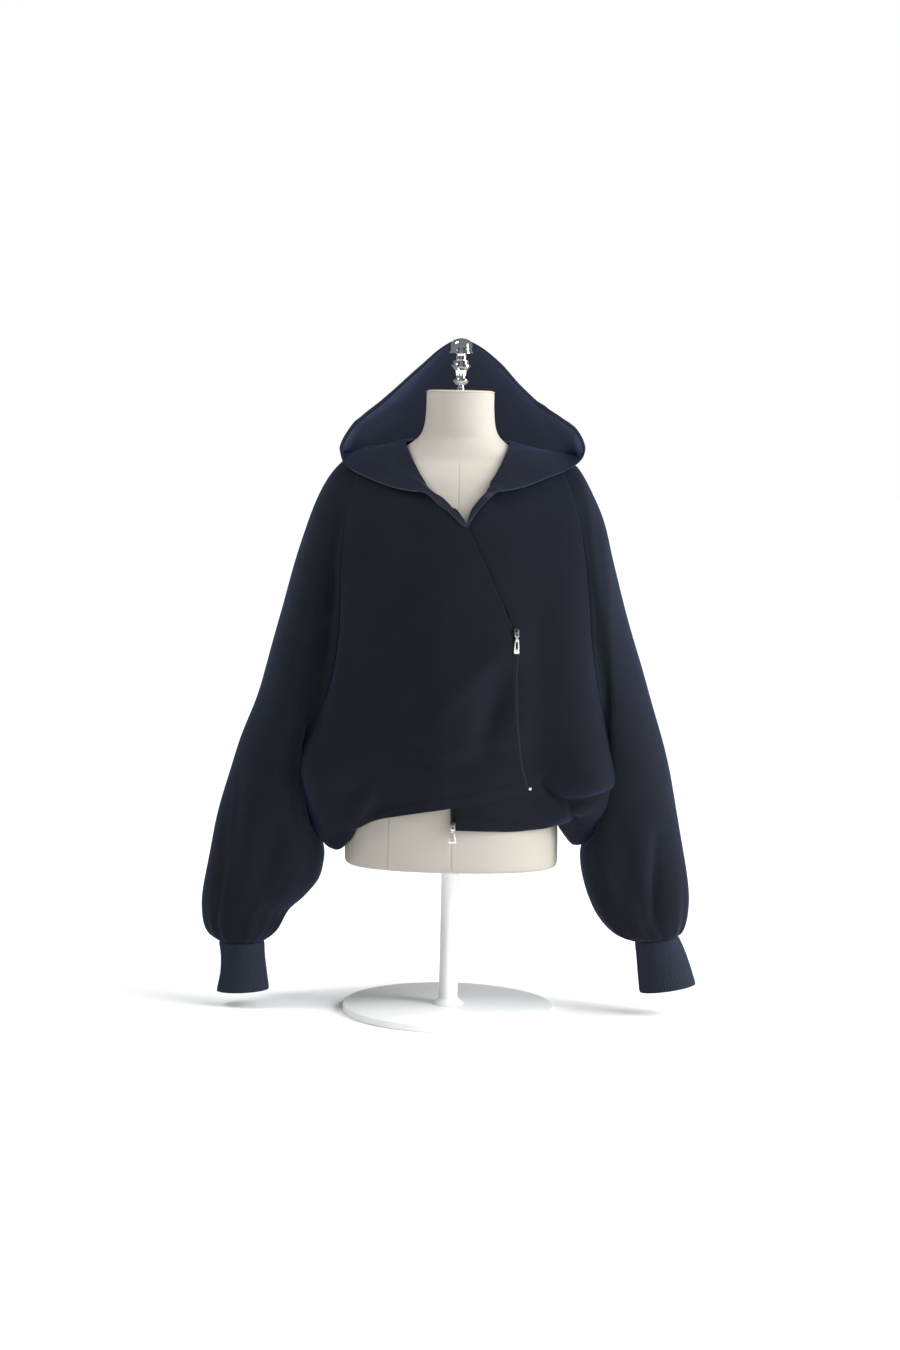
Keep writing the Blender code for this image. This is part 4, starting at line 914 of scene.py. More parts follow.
def add_blocks(mesh_data, line, out, pitch, size):
    """Row of small blocks along a line: size is along, across and out."""
    for place, run, normal in zip(*spaced_frames(line, out, pitch)):
        bmesh.ops.create_cube(mesh_data, size=1.0, matrix=frame_matrix(
            place * MM, run, normal, [part * MM for part in size]))


# Sewing: distance from an edge, lift off the cloth, stations left out at a line's ends, then each
# stitch's pitch and width
HEM_SEAM = 20.0
EDGE_SEAM = 5.5
HEM_LIFT = 0.45
EDGE_LIFT = 0.08
PANEL_ENDS = (2, -2)
RIM_ENDS = (14, -3)
STITCH_PITCH = 3.6
STITCH_WIDTH = 0.55


def sewn(name, points, seams, ends):
    """Stitches on a piece of cloth, by edge, distance, lift and side."""
    threads = bmesh.new()
    normals = surface_normals(points)
    length = bpy.context.scene.hoodie.stitch / MM
    first, last = ends
    for edge, distance, lift, face in seams:
        line, out = line_at(points, normals * face, edge, distance, CLOTH / 2 + lift)
        add_stitches(threads, line[first:last], out[first:last], STITCH_PITCH, length, STITCH_WIDTH)
    sewing = finished(name, threads, finish_named("thread"))
    return sewing


# ---------------------------------------------------------------------------- materials

GREY = (0.5, 0.5, 0.5, 1)


def feed(tree, made, values):
    """Gives a node's inputs their values, or joins them to the outputs given."""
    for key, value in values.items():
        if isinstance(value, bpy.types.NodeSocket):
            tree.links.new(value, made.inputs[key])
        else:
            made.inputs[key].default_value = value


def node(tree, kind, place, values=None, **settings):
    """Adds a node to a tree with its settings and inputs."""
    made = tree.nodes.new(kind)
    made.location = place
    for name, value in settings.items():
        setattr(made, name, value)
    feed(tree, made, values or {})
    return made


def maths(tree, place, operation, *values):
    """Adds a maths node and gives its output."""
    return node(tree, "ShaderNodeMath", place, dict(enumerate(values)),
                operation=operation).outputs[0]


def new_group(name, inputs, output):
    """Starts a shader group with its inputs, a colour output and one number as output."""
    tree = bpy.data.node_groups.new(name, "ShaderNodeTree")
    for label, value in inputs.items():
        kind = "NodeSocketColor" if isinstance(value, tuple) else "NodeSocketFloat"
        socket = tree.interface.new_socket(name=label, in_out="INPUT", socket_type=kind)
        socket.default_value = value
    tree.interface.new_socket(name="Colour", in_out="OUTPUT", socket_type="NodeSocketColor")
    tree.interface.new_socket(name=output, in_out="OUTPUT", socket_type="NodeSocketFloat")
    return tree, node(tree, "NodeGroupInput", (-1100, 0)).outputs


def yarn_group():
    """Pattern of yarns that cross in two directions, with its relief and a soft uneven tone."""
    tree, entry = new_group("yarns", {"Colour": GREY, "Wales": 700.0, "Courses": 900.0,
                                      "Tone": 0.15, "Yarn tone": 0.2}, "Height")
    chart = node(tree, "ShaderNodeUVMap", (-1100, -300), uv_map="cloth")
    split = node(tree, "ShaderNodeSeparateXYZ", (-900, -300), {0: chart.outputs[0]})
    waves = []
    for axis, socket, high in (("X", "Wales", -200), ("Y", "Courses", -400)):
        count = maths(tree, (-700, high), "MULTIPLY", split.outputs[axis], entry[socket])
        turn = maths(tree, (-520, high), "MULTIPLY", count, TURN)
        waves.append(maths(tree, (-340, high), "SINE", turn))
    weave = maths(tree, (-160, -300), "MULTIPLY_ADD", waves[1], 0.35, waves[0])
    place = node(tree, "ShaderNodeTexCoord", (-1100, -700)).outputs["Object"]
    fibre, cloud = (node(tree, "ShaderNodeTexNoise", (-340, high),
                         {0: place, "Scale": scale, "Detail": detail}).outputs[0]
                    for high, scale, detail in ((-700, 650.0, 2.0), (-950, 14.0, 3.0)))
    height = maths(tree, (60, -350), "MULTIPLY_ADD", fibre, 1.4, weave)
    tone = maths(tree, (60, -650), "SUBTRACT", cloud, 0.5)
    uneven = maths(tree, (240, -650), "MULTIPLY", tone, entry["Tone"])
    yarn = maths(tree, (240, -450), "MULTIPLY", height, entry["Yarn tone"])
    total = maths(tree, (400, -550), "ADD", uneven, yarn)
    bright = maths(tree, (400, -350), "ADD", total, 1.0)
    shade = node(tree, "ShaderNodeVectorMath", (540, -100), {0: entry["Colour"], "Scale": bright},
                 operation="SCALE")
    node(tree, "NodeGroupOutput", (700, 0), {"Colour": shade.outputs[0], "Height": height})
    return tree


def wear_group():
    """Faint smears and scuffs that make a hard finish a little uneven."""
    tree, entry = new_group("smears", {"Colour": GREY, "Roughness": 0.3, "Scale": 60.0,
                                       "Amount": 0.1}, "Roughness")
    place = node(tree, "ShaderNodeTexCoord", (-800, -300)).outputs["Object"]
    noise = node(tree, "ShaderNodeTexNoise", (-600, -300),
                 {0: place, "Scale": entry["Scale"], "Detail": 4.0})
    middle = maths(tree, (-400, -300), "SUBTRACT", noise.outputs[0], 0.5)
    amount = maths(tree, (-220, -300), "MULTIPLY", middle, entry["Amount"])
    rough = maths(tree, (0, -300), "ADD", amount, entry["Roughness"])
    bright = maths(tree, (0, -120), "SUBTRACT", 1.0, amount)
    shade = node(tree, "ShaderNodeVectorMath", (180, 60), {0: entry["Colour"], "Scale": bright},
                 operation="SCALE")
    node(tree, "NodeGroupOutput", (400, 0), {"Colour": shade.outputs[0], "Roughness": rough})
    return tree


def new_material(name):
    """Starts a material, and gives it with its tree and its shader."""
    made = bpy.data.materials.new(name)
    made.use_nodes = True
    return made, made.node_tree, made.node_tree.nodes["Principled BSDF"]


def cloth_material(name, colour, wales, courses, tone=0.2, yarn_tone=0.05, relief=0.12,
                   depth=0.15, roughness=0.9, sheen=0.0, sheen_tint=(1, 1, 1), specular=0.2):
    """Soft finish with yarns: wales and courses are yarns a metre, depth is in millimetres."""
    made, tree, shader = new_material(name)
    yarns = node(tree, "ShaderNodeGroup", (-600, 200),
                 {"Colour": (*colour, 1), "Wales": wales, "Courses": courses, "Tone": tone,
                  "Yarn tone": yarn_tone},
                 node_tree=bpy.data.node_groups.get("yarns") or yarn_group()).outputs
    bump = node(tree, "ShaderNodeBump", (-300, -100),
                {"Strength": relief, "Distance": depth * MM, "Height": yarns["Height"]})
    feed(tree, shader, {
        "Base Color": yarns["Colour"], "Normal": bump.outputs["Normal"], "Roughness": roughness,
        "Specular IOR Level": specular, "Sheen Weight": sheen, "Sheen Roughness": 0.45,
        "Sheen Tint": (*sheen_tint, 1)})
    return made


def hard_material(name, colour, roughness, metallic, scale=60.0, amount=0.1):
    """Metal, enamel or card with faint smears."""
    made, tree, shader = new_material(name)
    smears = node(tree, "ShaderNodeGroup", (-400, 100),
                  {"Colour": (*colour, 1), "Roughness": roughness, "Scale": scale,
                   "Amount": amount},
                  node_tree=bpy.data.node_groups.get("smears") or wear_group()).outputs
    feed(tree, shader, {"Metallic": metallic, "Base Color": smears["Colour"],
                        "Roughness": smears["Roughness"]})
    return made


# Hard finishes: colour, roughness and share of metal, then the smears
HARD_FINISHES = {
    "chrome_plate": ((0.83, 0.83, 0.82), 0.07, 1.0, {"amount": 0.05}),
    "nickel_plate": ((0.58, 0.57, 0.55), 0.22, 1.0, {"amount": 0.12}),
    "dark_teeth": ((0.030, 0.034, 0.042), 0.5, 1.0, {}),
    "gunmetal": ((0.11, 0.11, 0.115), 0.3, 1.0, {}),
    "neck_trim": ((0.42, 0.33, 0.27), 0.6, 0.0, {}),
    "stand_enamel": ((0.70, 0.70, 0.69), 0.4, 0.0, {"scale": 25.0}),
    "flag_card": ((0.01, 0.01, 0.01), 0.9, 0.0, {}),
}
TAPE_COLOUR = (0.0045, 0.005, 0.0065)
THREAD_SHADE = 1.1
# Share of the linen's colour kept by the form's seam thread: the thread is darkened as painted
# shade of the seam grooves
SEAM_PAINTED_SHADE = 0.62
CUFF_SHEEN = 1.2


def cloth_finish(name, settings):
    """Makes a soft finish: colour, wales and courses, then what differs from plain cloth."""
    jersey = {"yarn_tone": 0.06, "relief": 0.25, "depth": 0.12, "sheen": settings.sheen,
              "sheen_tint": settings.sheen_colour, "specular": 0.12}
    thread = tuple(THREAD_SHADE * part for part in settings.navy)
    # The form's seam thread is a darker linen, painted shade of the seam grooves
    seam = tuple(SEAM_PAINTED_SHADE * part for part in settings.linen)
    colour, wales, courses, looks = {
        "navy_cloth": (settings.navy, 620.0, 760.0, {**jersey, "tone": 0.25}),
        "navy_reverse": (settings.reverse, 500.0, 420.0, {
            **jersey, "tone": 0.3, "yarn_tone": 0.08, "relief": 0.3, "depth": 0.2}),
        "rib_cloth": (settings.rib, 900.0, 760.0, {**jersey, "sheen": settings.sheen * CUFF_SHEEN}),
        "tape_cloth": (TAPE_COLOUR, 1500.0, 500.0, {
            "relief": 0.4, "depth": 0.1, "sheen": 0.05, "specular": 0.12}),
        "thread": (thread, 2500.0, 900.0, {
            "relief": 0.4, "depth": 0.05, "specular": 0.1, "roughness": 0.8}),
        "linen_cloth": (settings.linen, 1300.0, 1100.0, {
            "tone": 0.06, "yarn_tone": 0.02, "relief": 0.3, "depth": 0.12, "roughness": 0.92,
            "sheen": 0.08, "sheen_tint": (1, 0.98, 0.94)}),
        "linen_seam_painted_shade": (seam, 1300.0, 1100.0, {"relief": 0.3, "roughness": 0.92}),
    }[name]
    return cloth_material(name, colour, wales, courses, **looks)


def finish_named(name):
    """The finish of that name, made once from the settings."""
    found = bpy.data.materials.get(name)
    if found:
        return found
    settings = bpy.context.scene.hoodie
    if name == "studio_floor":
        return hard_material(name, settings.floor, 0.8, 0.0, scale=3.0, amount=0.02)
    if name in HARD_FINISHES:
        colour, roughness, metallic, smears = HARD_FINISHES[name]
        return hard_material(name, colour, roughness, metallic, **smears)
    return cloth_finish(name, settings)


# ---------------------------------------------------------------------------- pieces

# Angles in degrees: a turned edge that stays sharp, then a small hard piece's flat join, its edge
# that is eased, and the eased edge that stays sharp
TURNED_EDGE = 35
FLAT_JOIN = 3
EASED_EDGE = 28
HARD_EDGE = 40
FORM_RIM = 50


def turned(name, profile, material, base=0.0, sides=64):
    """Solid of revolution about the Z axis from radius and height pairs."""
    mesh_data = bmesh.new()
    line = [mesh_data.verts.new((radius * MM, 0, (base + height) * MM))
            for radius, height in profile]
    for low, high in zip(line, line[1:]):
        mesh_data.edges.new((low, high))
    bmesh.ops.spin(mesh_data, geom=line + list(mesh_data.edges), cent=(0, 0, 0), axis=(0, 0, 1),
                   angle=TURN, steps=sides, use_merge=True)
    bmesh.ops.remove_doubles(mesh_data, verts=mesh_data.verts, dist=TOUCH)
    close_up(mesh_data)
    piece = finished(name, mesh_data, material)
    piece.data.set_sharp_from_angle(angle=math.radians(TURNED_EDGE))
    return piece


def close_up(mesh_data):
    """Fills the open rings of a solid and turns its faces outward."""
    holes = [edge for edge in mesh_data.edges if edge.is_boundary]
    bmesh.ops.holes_fill(mesh_data, edges=holes)
    bmesh.ops.recalc_face_normals(mesh_data, faces=mesh_data.faces)


def refined(name, source, finish, body_name, width):
    """Copy of a small hard solid, merged and with its edges eased."""
    mesh_data = bmesh.new()
    mesh_data.from_mesh(frame["nodes"][source].data)
    bmesh.ops.remove_doubles(mesh_data, verts=mesh_data.verts, dist=2 * TOUCH)
    bmesh.ops.dissolve_limit(mesh_data, angle_limit=math.radians(FLAT_JOIN),
                             verts=mesh_data.verts, edges=mesh_data.edges)
    sharp = [edge for edge in mesh_data.edges if len(edge.link_faces) == 2
             and edge.calc_face_angle(0) > math.radians(EASED_EDGE)]
    bmesh.ops.bevel(mesh_data, geom=sharp, offset=width * MM, offset_type="OFFSET", segments=2,
                    profile=0.5, affect="EDGES", clamp_overlap=True, material=-1)
    piece = finished(name, mesh_data, finish_named(finish), body_name=body_name)
    piece.data.set_sharp_from_angle(angle=math.radians(HARD_EDGE))
    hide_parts(source)
    return piece


class HoodieSettings(bpy.types.PropertyGroup):
    """Sizes and colours of the hoodie, its form and the studio"""
    navy: FloatVectorProperty(name="Jersey", description="Colour of the jersey", subtype="COLOR",
                              size=3, default=(0.0054, 0.0062, 0.0089), min=0, max=1)
    reverse: FloatVectorProperty(name="Reverse", description="Colour of the jersey's inner side",
                                 subtype="COLOR", size=3, default=(0.0068, 0.0078, 0.0114),
                                 min=0, max=1)
    rib: FloatVectorProperty(name="Cuffs", description="Colour of the cuffs", subtype="COLOR",
                             size=3, default=(0.0150, 0.0180, 0.0260), min=0, max=1)
    sheen: FloatProperty(name="Sheen", description="Soft sheen of the jersey's face",
                         default=0.10, min=0, max=1)
    sheen_colour: FloatVectorProperty(name="Sheen colour", description="Tint of the sheen",
                                      subtype="COLOR", size=3, default=(0.30, 0.42, 0.90),
                                      min=0, max=1)
    linen: FloatVectorProperty(name="Form cover", description="Colour of the form's linen",
                               subtype="COLOR", size=3, default=(0.365, 0.334, 0.291), min=0, max=1)
    floor: FloatVectorProperty(name="Floor", description="Colour of the studio floor",
                               subtype="COLOR", size=3, default=(0.93, 0.93, 0.93), min=0, max=1)
    ribs: IntProperty(name="Cuff ribs", description="Number of ribs round a cuff", default=60,
                      min=12, max=90)
    rib_relief: FloatProperty(name="Rib relief", description="Height of a rib in millimetres",
                              default=0.45, min=0, max=2)
    stitch: FloatProperty(name="Stitch length", description="Length of one stitch",
                          default=0.003, min=0.001, max=0.01, unit="LENGTH")
    tooth_pitch: FloatProperty(name="Tooth pitch", description="Distance between zip teeth",
                               default=0.0021, min=0.001, max=0.006, unit="LENGTH")
    key_power: FloatProperty(name="Softbox", description="Power of the softbox at the front",
                             default=13.0, min=0, unit="POWER")
    hood_fill: FloatProperty(name="Hood fill", description="Power of the light for the hood",
                             default=36.0, min=0, unit="POWER")
    sun: FloatProperty(name="Key light", description="Strength of the key light from the right",
                       default=6.4, min=0)


# Points from which the right side of the cloth faces away
BODY_HEART = (0, 0, 550)
HOOD_HEART = (0, 20, 930)


class HOODIE_OT_body(bpy.types.Operator):
    """Makes both fronts and the back as cloth"""
    bl_idname = "hoodie.body"
    bl_label = "Fronts and back"

    def execute(self, context):
        hem = ("bottom", HEM_SEAM, HEM_LIFT, 1)
        for node_name, maker, start, end in (("right_front", right_front_points, "seam", "free"),
                                             ("left_front", left_front_points, "free", "seam"),
                                             ("back", back_points, "seam", "seam")):
            edges = {"start": start, "end": end, "top": "seam", "bottom": "hem"}
            points = maker()
            piece = shell(node_name + "_cloth", points, finish_named("navy_cloth"), edges,
                          heart=BODY_HEART)
            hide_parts(node_name)
            free = [(edge, EDGE_SEAM, EDGE_LIFT, 1) for edge in edges if edges[edge] == "free"]
            sewing = sewn(node_name + "_sewing", points, [hem, *free], PANEL_ENDS)
            declare(points)
        return {"FINISHED"}


class HOODIE_OT_sleeves(bpy.types.Operator):
    """Makes both sleeves with their gathers"""
    bl_idname = "hoodie.sleeves"
    bl_label = "Sleeves"

    def execute(self, context):
        for side in ("left", "right"):
            points = sleeve_points(side)
            piece = shell(side + "_sleeve_cloth", points, finish_named("navy_cloth"),
                          {"top": "seam", "bottom": "seam"}, closed=True,
                          heart=points.mean(axis=(0, 1)).tolist())
            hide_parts(side + "_sleeve")
            declare(points)
        return {"FINISHED"}


class HOODIE_OT_cuffs(bpy.types.Operator):
    """Makes both cuffs with fine ribs"""
    bl_idname = "hoodie.cuffs"
    bl_label = "Cuffs"

    def execute(self, context):
        settings = context.scene.hoodie
        for side in ("left", "right"):
            points = cuff_points(side, settings.ribs, settings.rib_relief)
            piece = shell(side + "_cuff_cloth", points, finish_named("rib_cloth"),
                          {"top": "seam", "bottom": "free"}, closed=True, plain=CUFF_WALL)
            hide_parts(side + "_cuff")
            declare(points)
        return {"FINISHED"}


class HOODIE_OT_hood(bpy.types.Operator):
    """Makes both halves of the hood"""
    bl_idname = "hoodie.hood"
    bl_label = "Hood"

    def execute(self, context):
        rim_seams = [("start", HEM_SEAM, EDGE_LIFT, face) for face in (-1, 1)]
        for side in ("left", "right"):
            points = hood_points(side)
            piece = shell(side + "_hood_cloth", points, finish_named("navy_cloth"),
                          {"start": "rim", "end": "seam", "top": "seam"}, heart=HOOD_HEART)
            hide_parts(side + "_hood")
            sewing = sewn(side + "_hood_sewing", points, rim_seams, RIM_ENDS)
            declare(points)
        return {"FINISHED"}


# Tapes: lifts off the left front, wall, points across, then reach behind and beyond the teeth
TAPE_LIFT = CLOTH / 2 + 0.5
INNER_TAPE_LIFT = TAPE_LIFT + 0.5
OUTER_TAPE_LIFT = TAPE_LIFT - 0.1
EDGE_TAPE_LIFT = -0.3
TAPE_WALL = 0.7
TAPE_COLUMNS = 7
TAPE_REACH = 7.0
EDGE_TAPE_REACH = 6.2
INNER_TAPE_EDGE = 0.2
TAPE_EDGE = 2.0
# Heights at which the slanted zip and the free edge's zip are laid
SLANTED_HEIGHTS = np.linspace(377, 790, 150)
EDGE_HEIGHTS = np.linspace(313, 770, 130)
# Middle of each row of teeth beyond the right front's edge, by height
INNER_ROW = [(373, 0.7), (632, 0.7), (650, 0.4), (690, -0.4), (800, -1.6)]
OUTER_ROW = [(373, 2.2), (632, 2.2), (646, 3.2), (658, 3.4), (676, 1.0), (692, -4), (740, -10),
             (800, -10)]
# Teeth: size along, across and out, then how far they stand off the left front or inside its edge
SLANTED_TOOTH = (1.15, 2.1, 1.5)
SLANTED_TEETH_LIFT = TAPE_LIFT + 1.1
EDGE_TOOTH = (1.15, 2.4, 2.0)
EDGE_TEETH_ASIDE = 6.4
# Small metal pieces: finish, body and width of the eased edges
METAL = {
    "upper_slider": ("gunmetal", BODY_NAME, 0.35), "lower_slider": ("gunmetal", BODY_NAME, 0.35),
    "zip_stop": ("nickel_plate", BODY_NAME, 0.4),
    "upper_pull": ("nickel_plate", "upper_pull_tab", 0.25),
    "lower_pull": ("nickel_plate", "lower_pull_tab", 0.25),
}


def edge_at(line, heights):
    """How far to the right the edge of a panel lies at given heights."""
    order = np.argsort(line[:, 2])
    return np.interp(heights, line[order, 2], line[order, 0])


def tape(name, near, far, heights, lift):
    """Zip tape on the left front between two lines."""
    part = np.linspace(0, 1, TAPE_COLUMNS)[None, :]
    x = near[:, None] * (1 - part) + far[:, None] * part
    points = on_front("left", x, heights[:, None], lift)
    piece = shell(name, points, finish_named("tape_cloth"), {}, thickest=TAPE_WALL, plain=1.0)
    declare(points)
    return piece


class HOODIE_OT_zips(bpy.types.Operator):
    """Makes the zip tapes, their teeth and the refined sliders and pulls"""
    bl_idname = "hoodie.zips"
    bl_label = "Zips"

    def execute(self, context):
        pitch = context.scene.hoodie.tooth_pitch / MM
        heights = SLANTED_HEIGHTS
        edge = edge_at(right_front_points()[:, -1], heights)
        inner, outer = edge + read_line(INNER_ROW, heights), edge + read_line(OUTER_ROW, heights)
        tape("inner_tape", edge - TAPE_REACH, inner + INNER_TAPE_EDGE, heights, INNER_TAPE_LIFT)
        outer_tape = tape("outer_tape", outer - TAPE_REACH, outer + TAPE_EDGE, heights,
                          OUTER_TAPE_LIFT)
        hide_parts("slanted_zip_tape")
        teeth = bmesh.new()
        for x, skip in ((inner, 1), (outer, 0)):
            line = on_front("left", x, heights, SLANTED_TEETH_LIFT)
            out = unit(line - on_front("left", x, heights, 0.0))
            add_blocks(teeth, line[skip:], out[skip:], pitch, SLANTED_TOOTH)
        row = finished("slanted_zip_teeth", teeth, finish_named("dark_teeth"), smooth=False)
        heights = EDGE_HEIGHTS
        edge = edge_at(left_front_points()[:, 0], heights)
        edge_tape = tape("edge_tape", edge - EDGE_TAPE_REACH, edge + TAPE_EDGE, heights,
                         EDGE_TAPE_LIFT)
        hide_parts("edge_zip_tape")
        teeth = bmesh.new()
        line = on_front("left", edge - EDGE_TEETH_ASIDE, heights, EDGE_TAPE_LIFT)
        out = unit(on_front("left", edge - EDGE_TEETH_ASIDE, heights, 3.0) - line)
        add_blocks(teeth, line, out, pitch, EDGE_TOOTH)
        row = finished("edge_zip_teeth", teeth, finish_named("dark_teeth"), smooth=False)
        for source, (finish, body_name, width) in METAL.items():
            refined(source + "_plate", source, finish, body_name, width)
        return {"FINISHED"}


class HOODIE_OT_form(bpy.types.Operator):
    """Makes the linen dress form with its seams"""
    bl_idname = "hoodie.form"
    bl_label = "Dress form"

    def execute(self, context):
        place = np.concatenate([np.linspace(0, 3, 13), np.linspace(3, 21, 110)[1:],
                                np.linspace(21, 24, 10)[1:]])
        rings = curve(FORM, place)
        seams = np.radians(FORM_SEAMS)
        beside = seams[:, None] + np.radians(BESIDE_SEAM)
        even = TURN * np.arange(FORM_COLUMNS) / FORM_COLUMNS
        angle = np.concatenate([even, beside.ravel()])
        angle = np.unique(np.round(angle % TURN, 5))
        points = self.points(rings, np.append(angle, TURN))
        piece = shell("form_linen", points, finish_named("linen_cloth"), {}, closed=True)
        piece.modifiers.clear()
        mesh_data = bmesh.new()
        mesh_data.from_mesh(piece.data)
        close_up(mesh_data)
        mesh_data.to_mesh(piece.data)
        mesh_data.free()
        piece.data.set_sharp_from_angle(angle=math.radians(FORM_RIM))
        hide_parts("dress_form")
        self.seam_threads(curve(FORM, np.linspace(*SEAM_ROWS, 130)), seams)
        self.neck_trim()
        return {"FINISHED"}

    def points(self, rings, angle):
        """Points of the form's rings, with a shallow groove along each seam"""
        square = np.where(rings[:, :1] < CHEST, SQUARE, 1.0)
        across = np.copysign(np.abs(np.cos(angle)) ** square, np.cos(angle))
        along = np.copysign(np.abs(np.sin(angle)) ** square, np.sin(angle))
        depth = np.where(along > 0, rings[:, 3:4], rings[:, 2:3])
        height = np.broadcast_to(rings[:, :1], across.shape)
        off = (angle[:, None] - np.radians(FORM_SEAMS) + math.pi) % TURN - math.pi
        off = np.abs(off).min(axis=1)
        deep = SEAM_DEPTH * (1 - step(*SEAM_TOP, rings[:, :1])) / rings[:, 1:2]
        part = 1 - deep * np.exp(-(off * rings[:, 1:2] / SEAM_WIDTH) ** 2)
        return np.stack([rings[:, 1:2] * across * part, depth * along * part, height], axis=-1)

    def seam_threads(self, rings, seams):
        """Fine lines of thread at the bottom of the seams' grooves, darkened as painted shade of
        the grooves
        """
        threads = bmesh.new()
        for seam in seams:
            line = self.points(rings, np.array([seam]))[:, 0]
            out = unit(line * [1, 1, 0])
            add_stitches(threads, line + out * THREAD_LIFT, out, *FORM_STITCH)
        # The thread's darker linen finish is painted shade of the grooves
        sewing = finished("form_sewing", threads, finish_named("linen_seam_painted_shade"))

    def neck_trim(self):
        """Thin ring round the top edge of the neck"""
        turns = np.linspace(0, TURN, 9)
        rings = curve(FORM, np.full(len(turns), TRIM_ROW))
        rings[:, 0] += TRIM_HEIGHT * np.sin(turns)
        rings[:, 1:] += TRIM_OUT + TRIM_WIDTH * np.cos(turns)[:, None]
        rings[-1] = rings[0]
        points = self.points(rings, TURN * np.arange(FORM_COLUMNS + 1) / FORM_COLUMNS)
        piece = shell("neck_trim", points, finish_named("neck_trim"), {}, closed=True)
        piece.modifiers.clear()


class HOODIE_OT_finial(bpy.types.Operator):
    """Makes the turned chrome finial"""
    bl_idname = "hoodie.finial"
    bl_label = "Finial"

    def execute(self, context):
        piece = turned("finial_chrome", FINIAL, finish_named("chrome_plate"), base=FORM_TOP)
        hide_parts("finial")
        return {"FINISHED"}


class HOODIE_OT_stand(bpy.types.Operator):
    """Makes the round base and post of the stand"""
    bl_idname = "hoodie.stand"
    bl_label = "Stand"

    def execute(self, context):
        for name, profile, sides, node_name in (("base_plate", BASE, 96, "stand_base"),
                                                ("post_tube", POST, 64, "stand_post")):
            piece = turned(name, profile, finish_named("stand_enamel"), sides=sides)
            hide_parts(node_name)
        return {"FINISHED"}


# Soft lights: place, target, size in metres and share of the softbox's power
SOFT_LIGHTS = {
    "front": ((0.3, -4.4, 2.4), (0, 0, 0.6), (2.4, 1.2), 1.0),
    "right": ((2.4, -0.9, 0.9), (0, 0, 0.5), (0.5, 1.8), 3.6),
    "left": ((-1.6, -0.6, 2.6), (0, 0, 0.7), (0.5, 1.6), 3.4),
    "low": ((0.6, -2.1, 0.06), (0, 0, 0.4), (1.8, 0.7), 0.5),
}
HOOD_LIGHT = ((-0.1, -0.45, 0.2), (0, 0.1, 0.96), (1.2, 0.4))
KEY_WAY = (-2.8, 0.4, -2.1)
KEY_SPREAD = 60
KEY_COLOUR = (0.92, 0.96, 1.0)
UNSEEN_IN_METAL = ("front", "low", "key", "hood_fill")
FLOOR_RADIUS = 40.0
FLAGS = {"flag_left": (-1.5, -2.6, 1.0), "flag_right": (1.3, -2.6, 1.0)}
# Camera: place and target in metres, focal length and sensor in millimetres, roll in degrees
EYE = (-0.0075, -4.3, 0.93)
TARGET = (-0.0075, 0.0, 0.545)
LENS = 71.95
SENSOR = 36.0
ROLL = 1.2
# Studio air as the camera, the cloth and the metal see it: colour and strength
SEEN_AIR = {0: (1, 1, 1, 1), 1: 1.0}
SOFT_AIR = {0: (0.96, 0.98, 1, 1), 1: 0.22}
GLOSSY_AIR = {0: (0.8, 0.85, 0.9, 1), 1: 0.24}


def add_lamp(name, light, way, place=(0, 0, 0)):
    """Puts a light in the studio, turned to shine a way."""
    lamp = bpy.data.objects.new(name, light)
    lamp.location = place
    lamp.rotation_mode = "QUATERNION"
    lamp.rotation_quaternion = Vector(way).to_track_quat("-Z", "Y")
    bpy.context.scene.collection.objects.link(lamp)
    lamp.visible_glossy = name not in UNSEEN_IN_METAL
    return lamp


def area_light(name, place, target, size, power):
    """Rectangular soft light that shines from a place to a target."""
    light = bpy.data.lights.new(name, "AREA")
    light.shape = "RECTANGLE"
    light.size, light.size_y = size
    light.energy = power
    lamp = add_lamp(name, light, Vector(target) - Vector(place), place)
    return lamp


def gathered(name, pieces):
    """Collection that lists pieces for a light."""
    made = bpy.data.collections.new(name)
    for piece in pieces:
        made.objects.link(bpy.data.objects[piece])
    return made


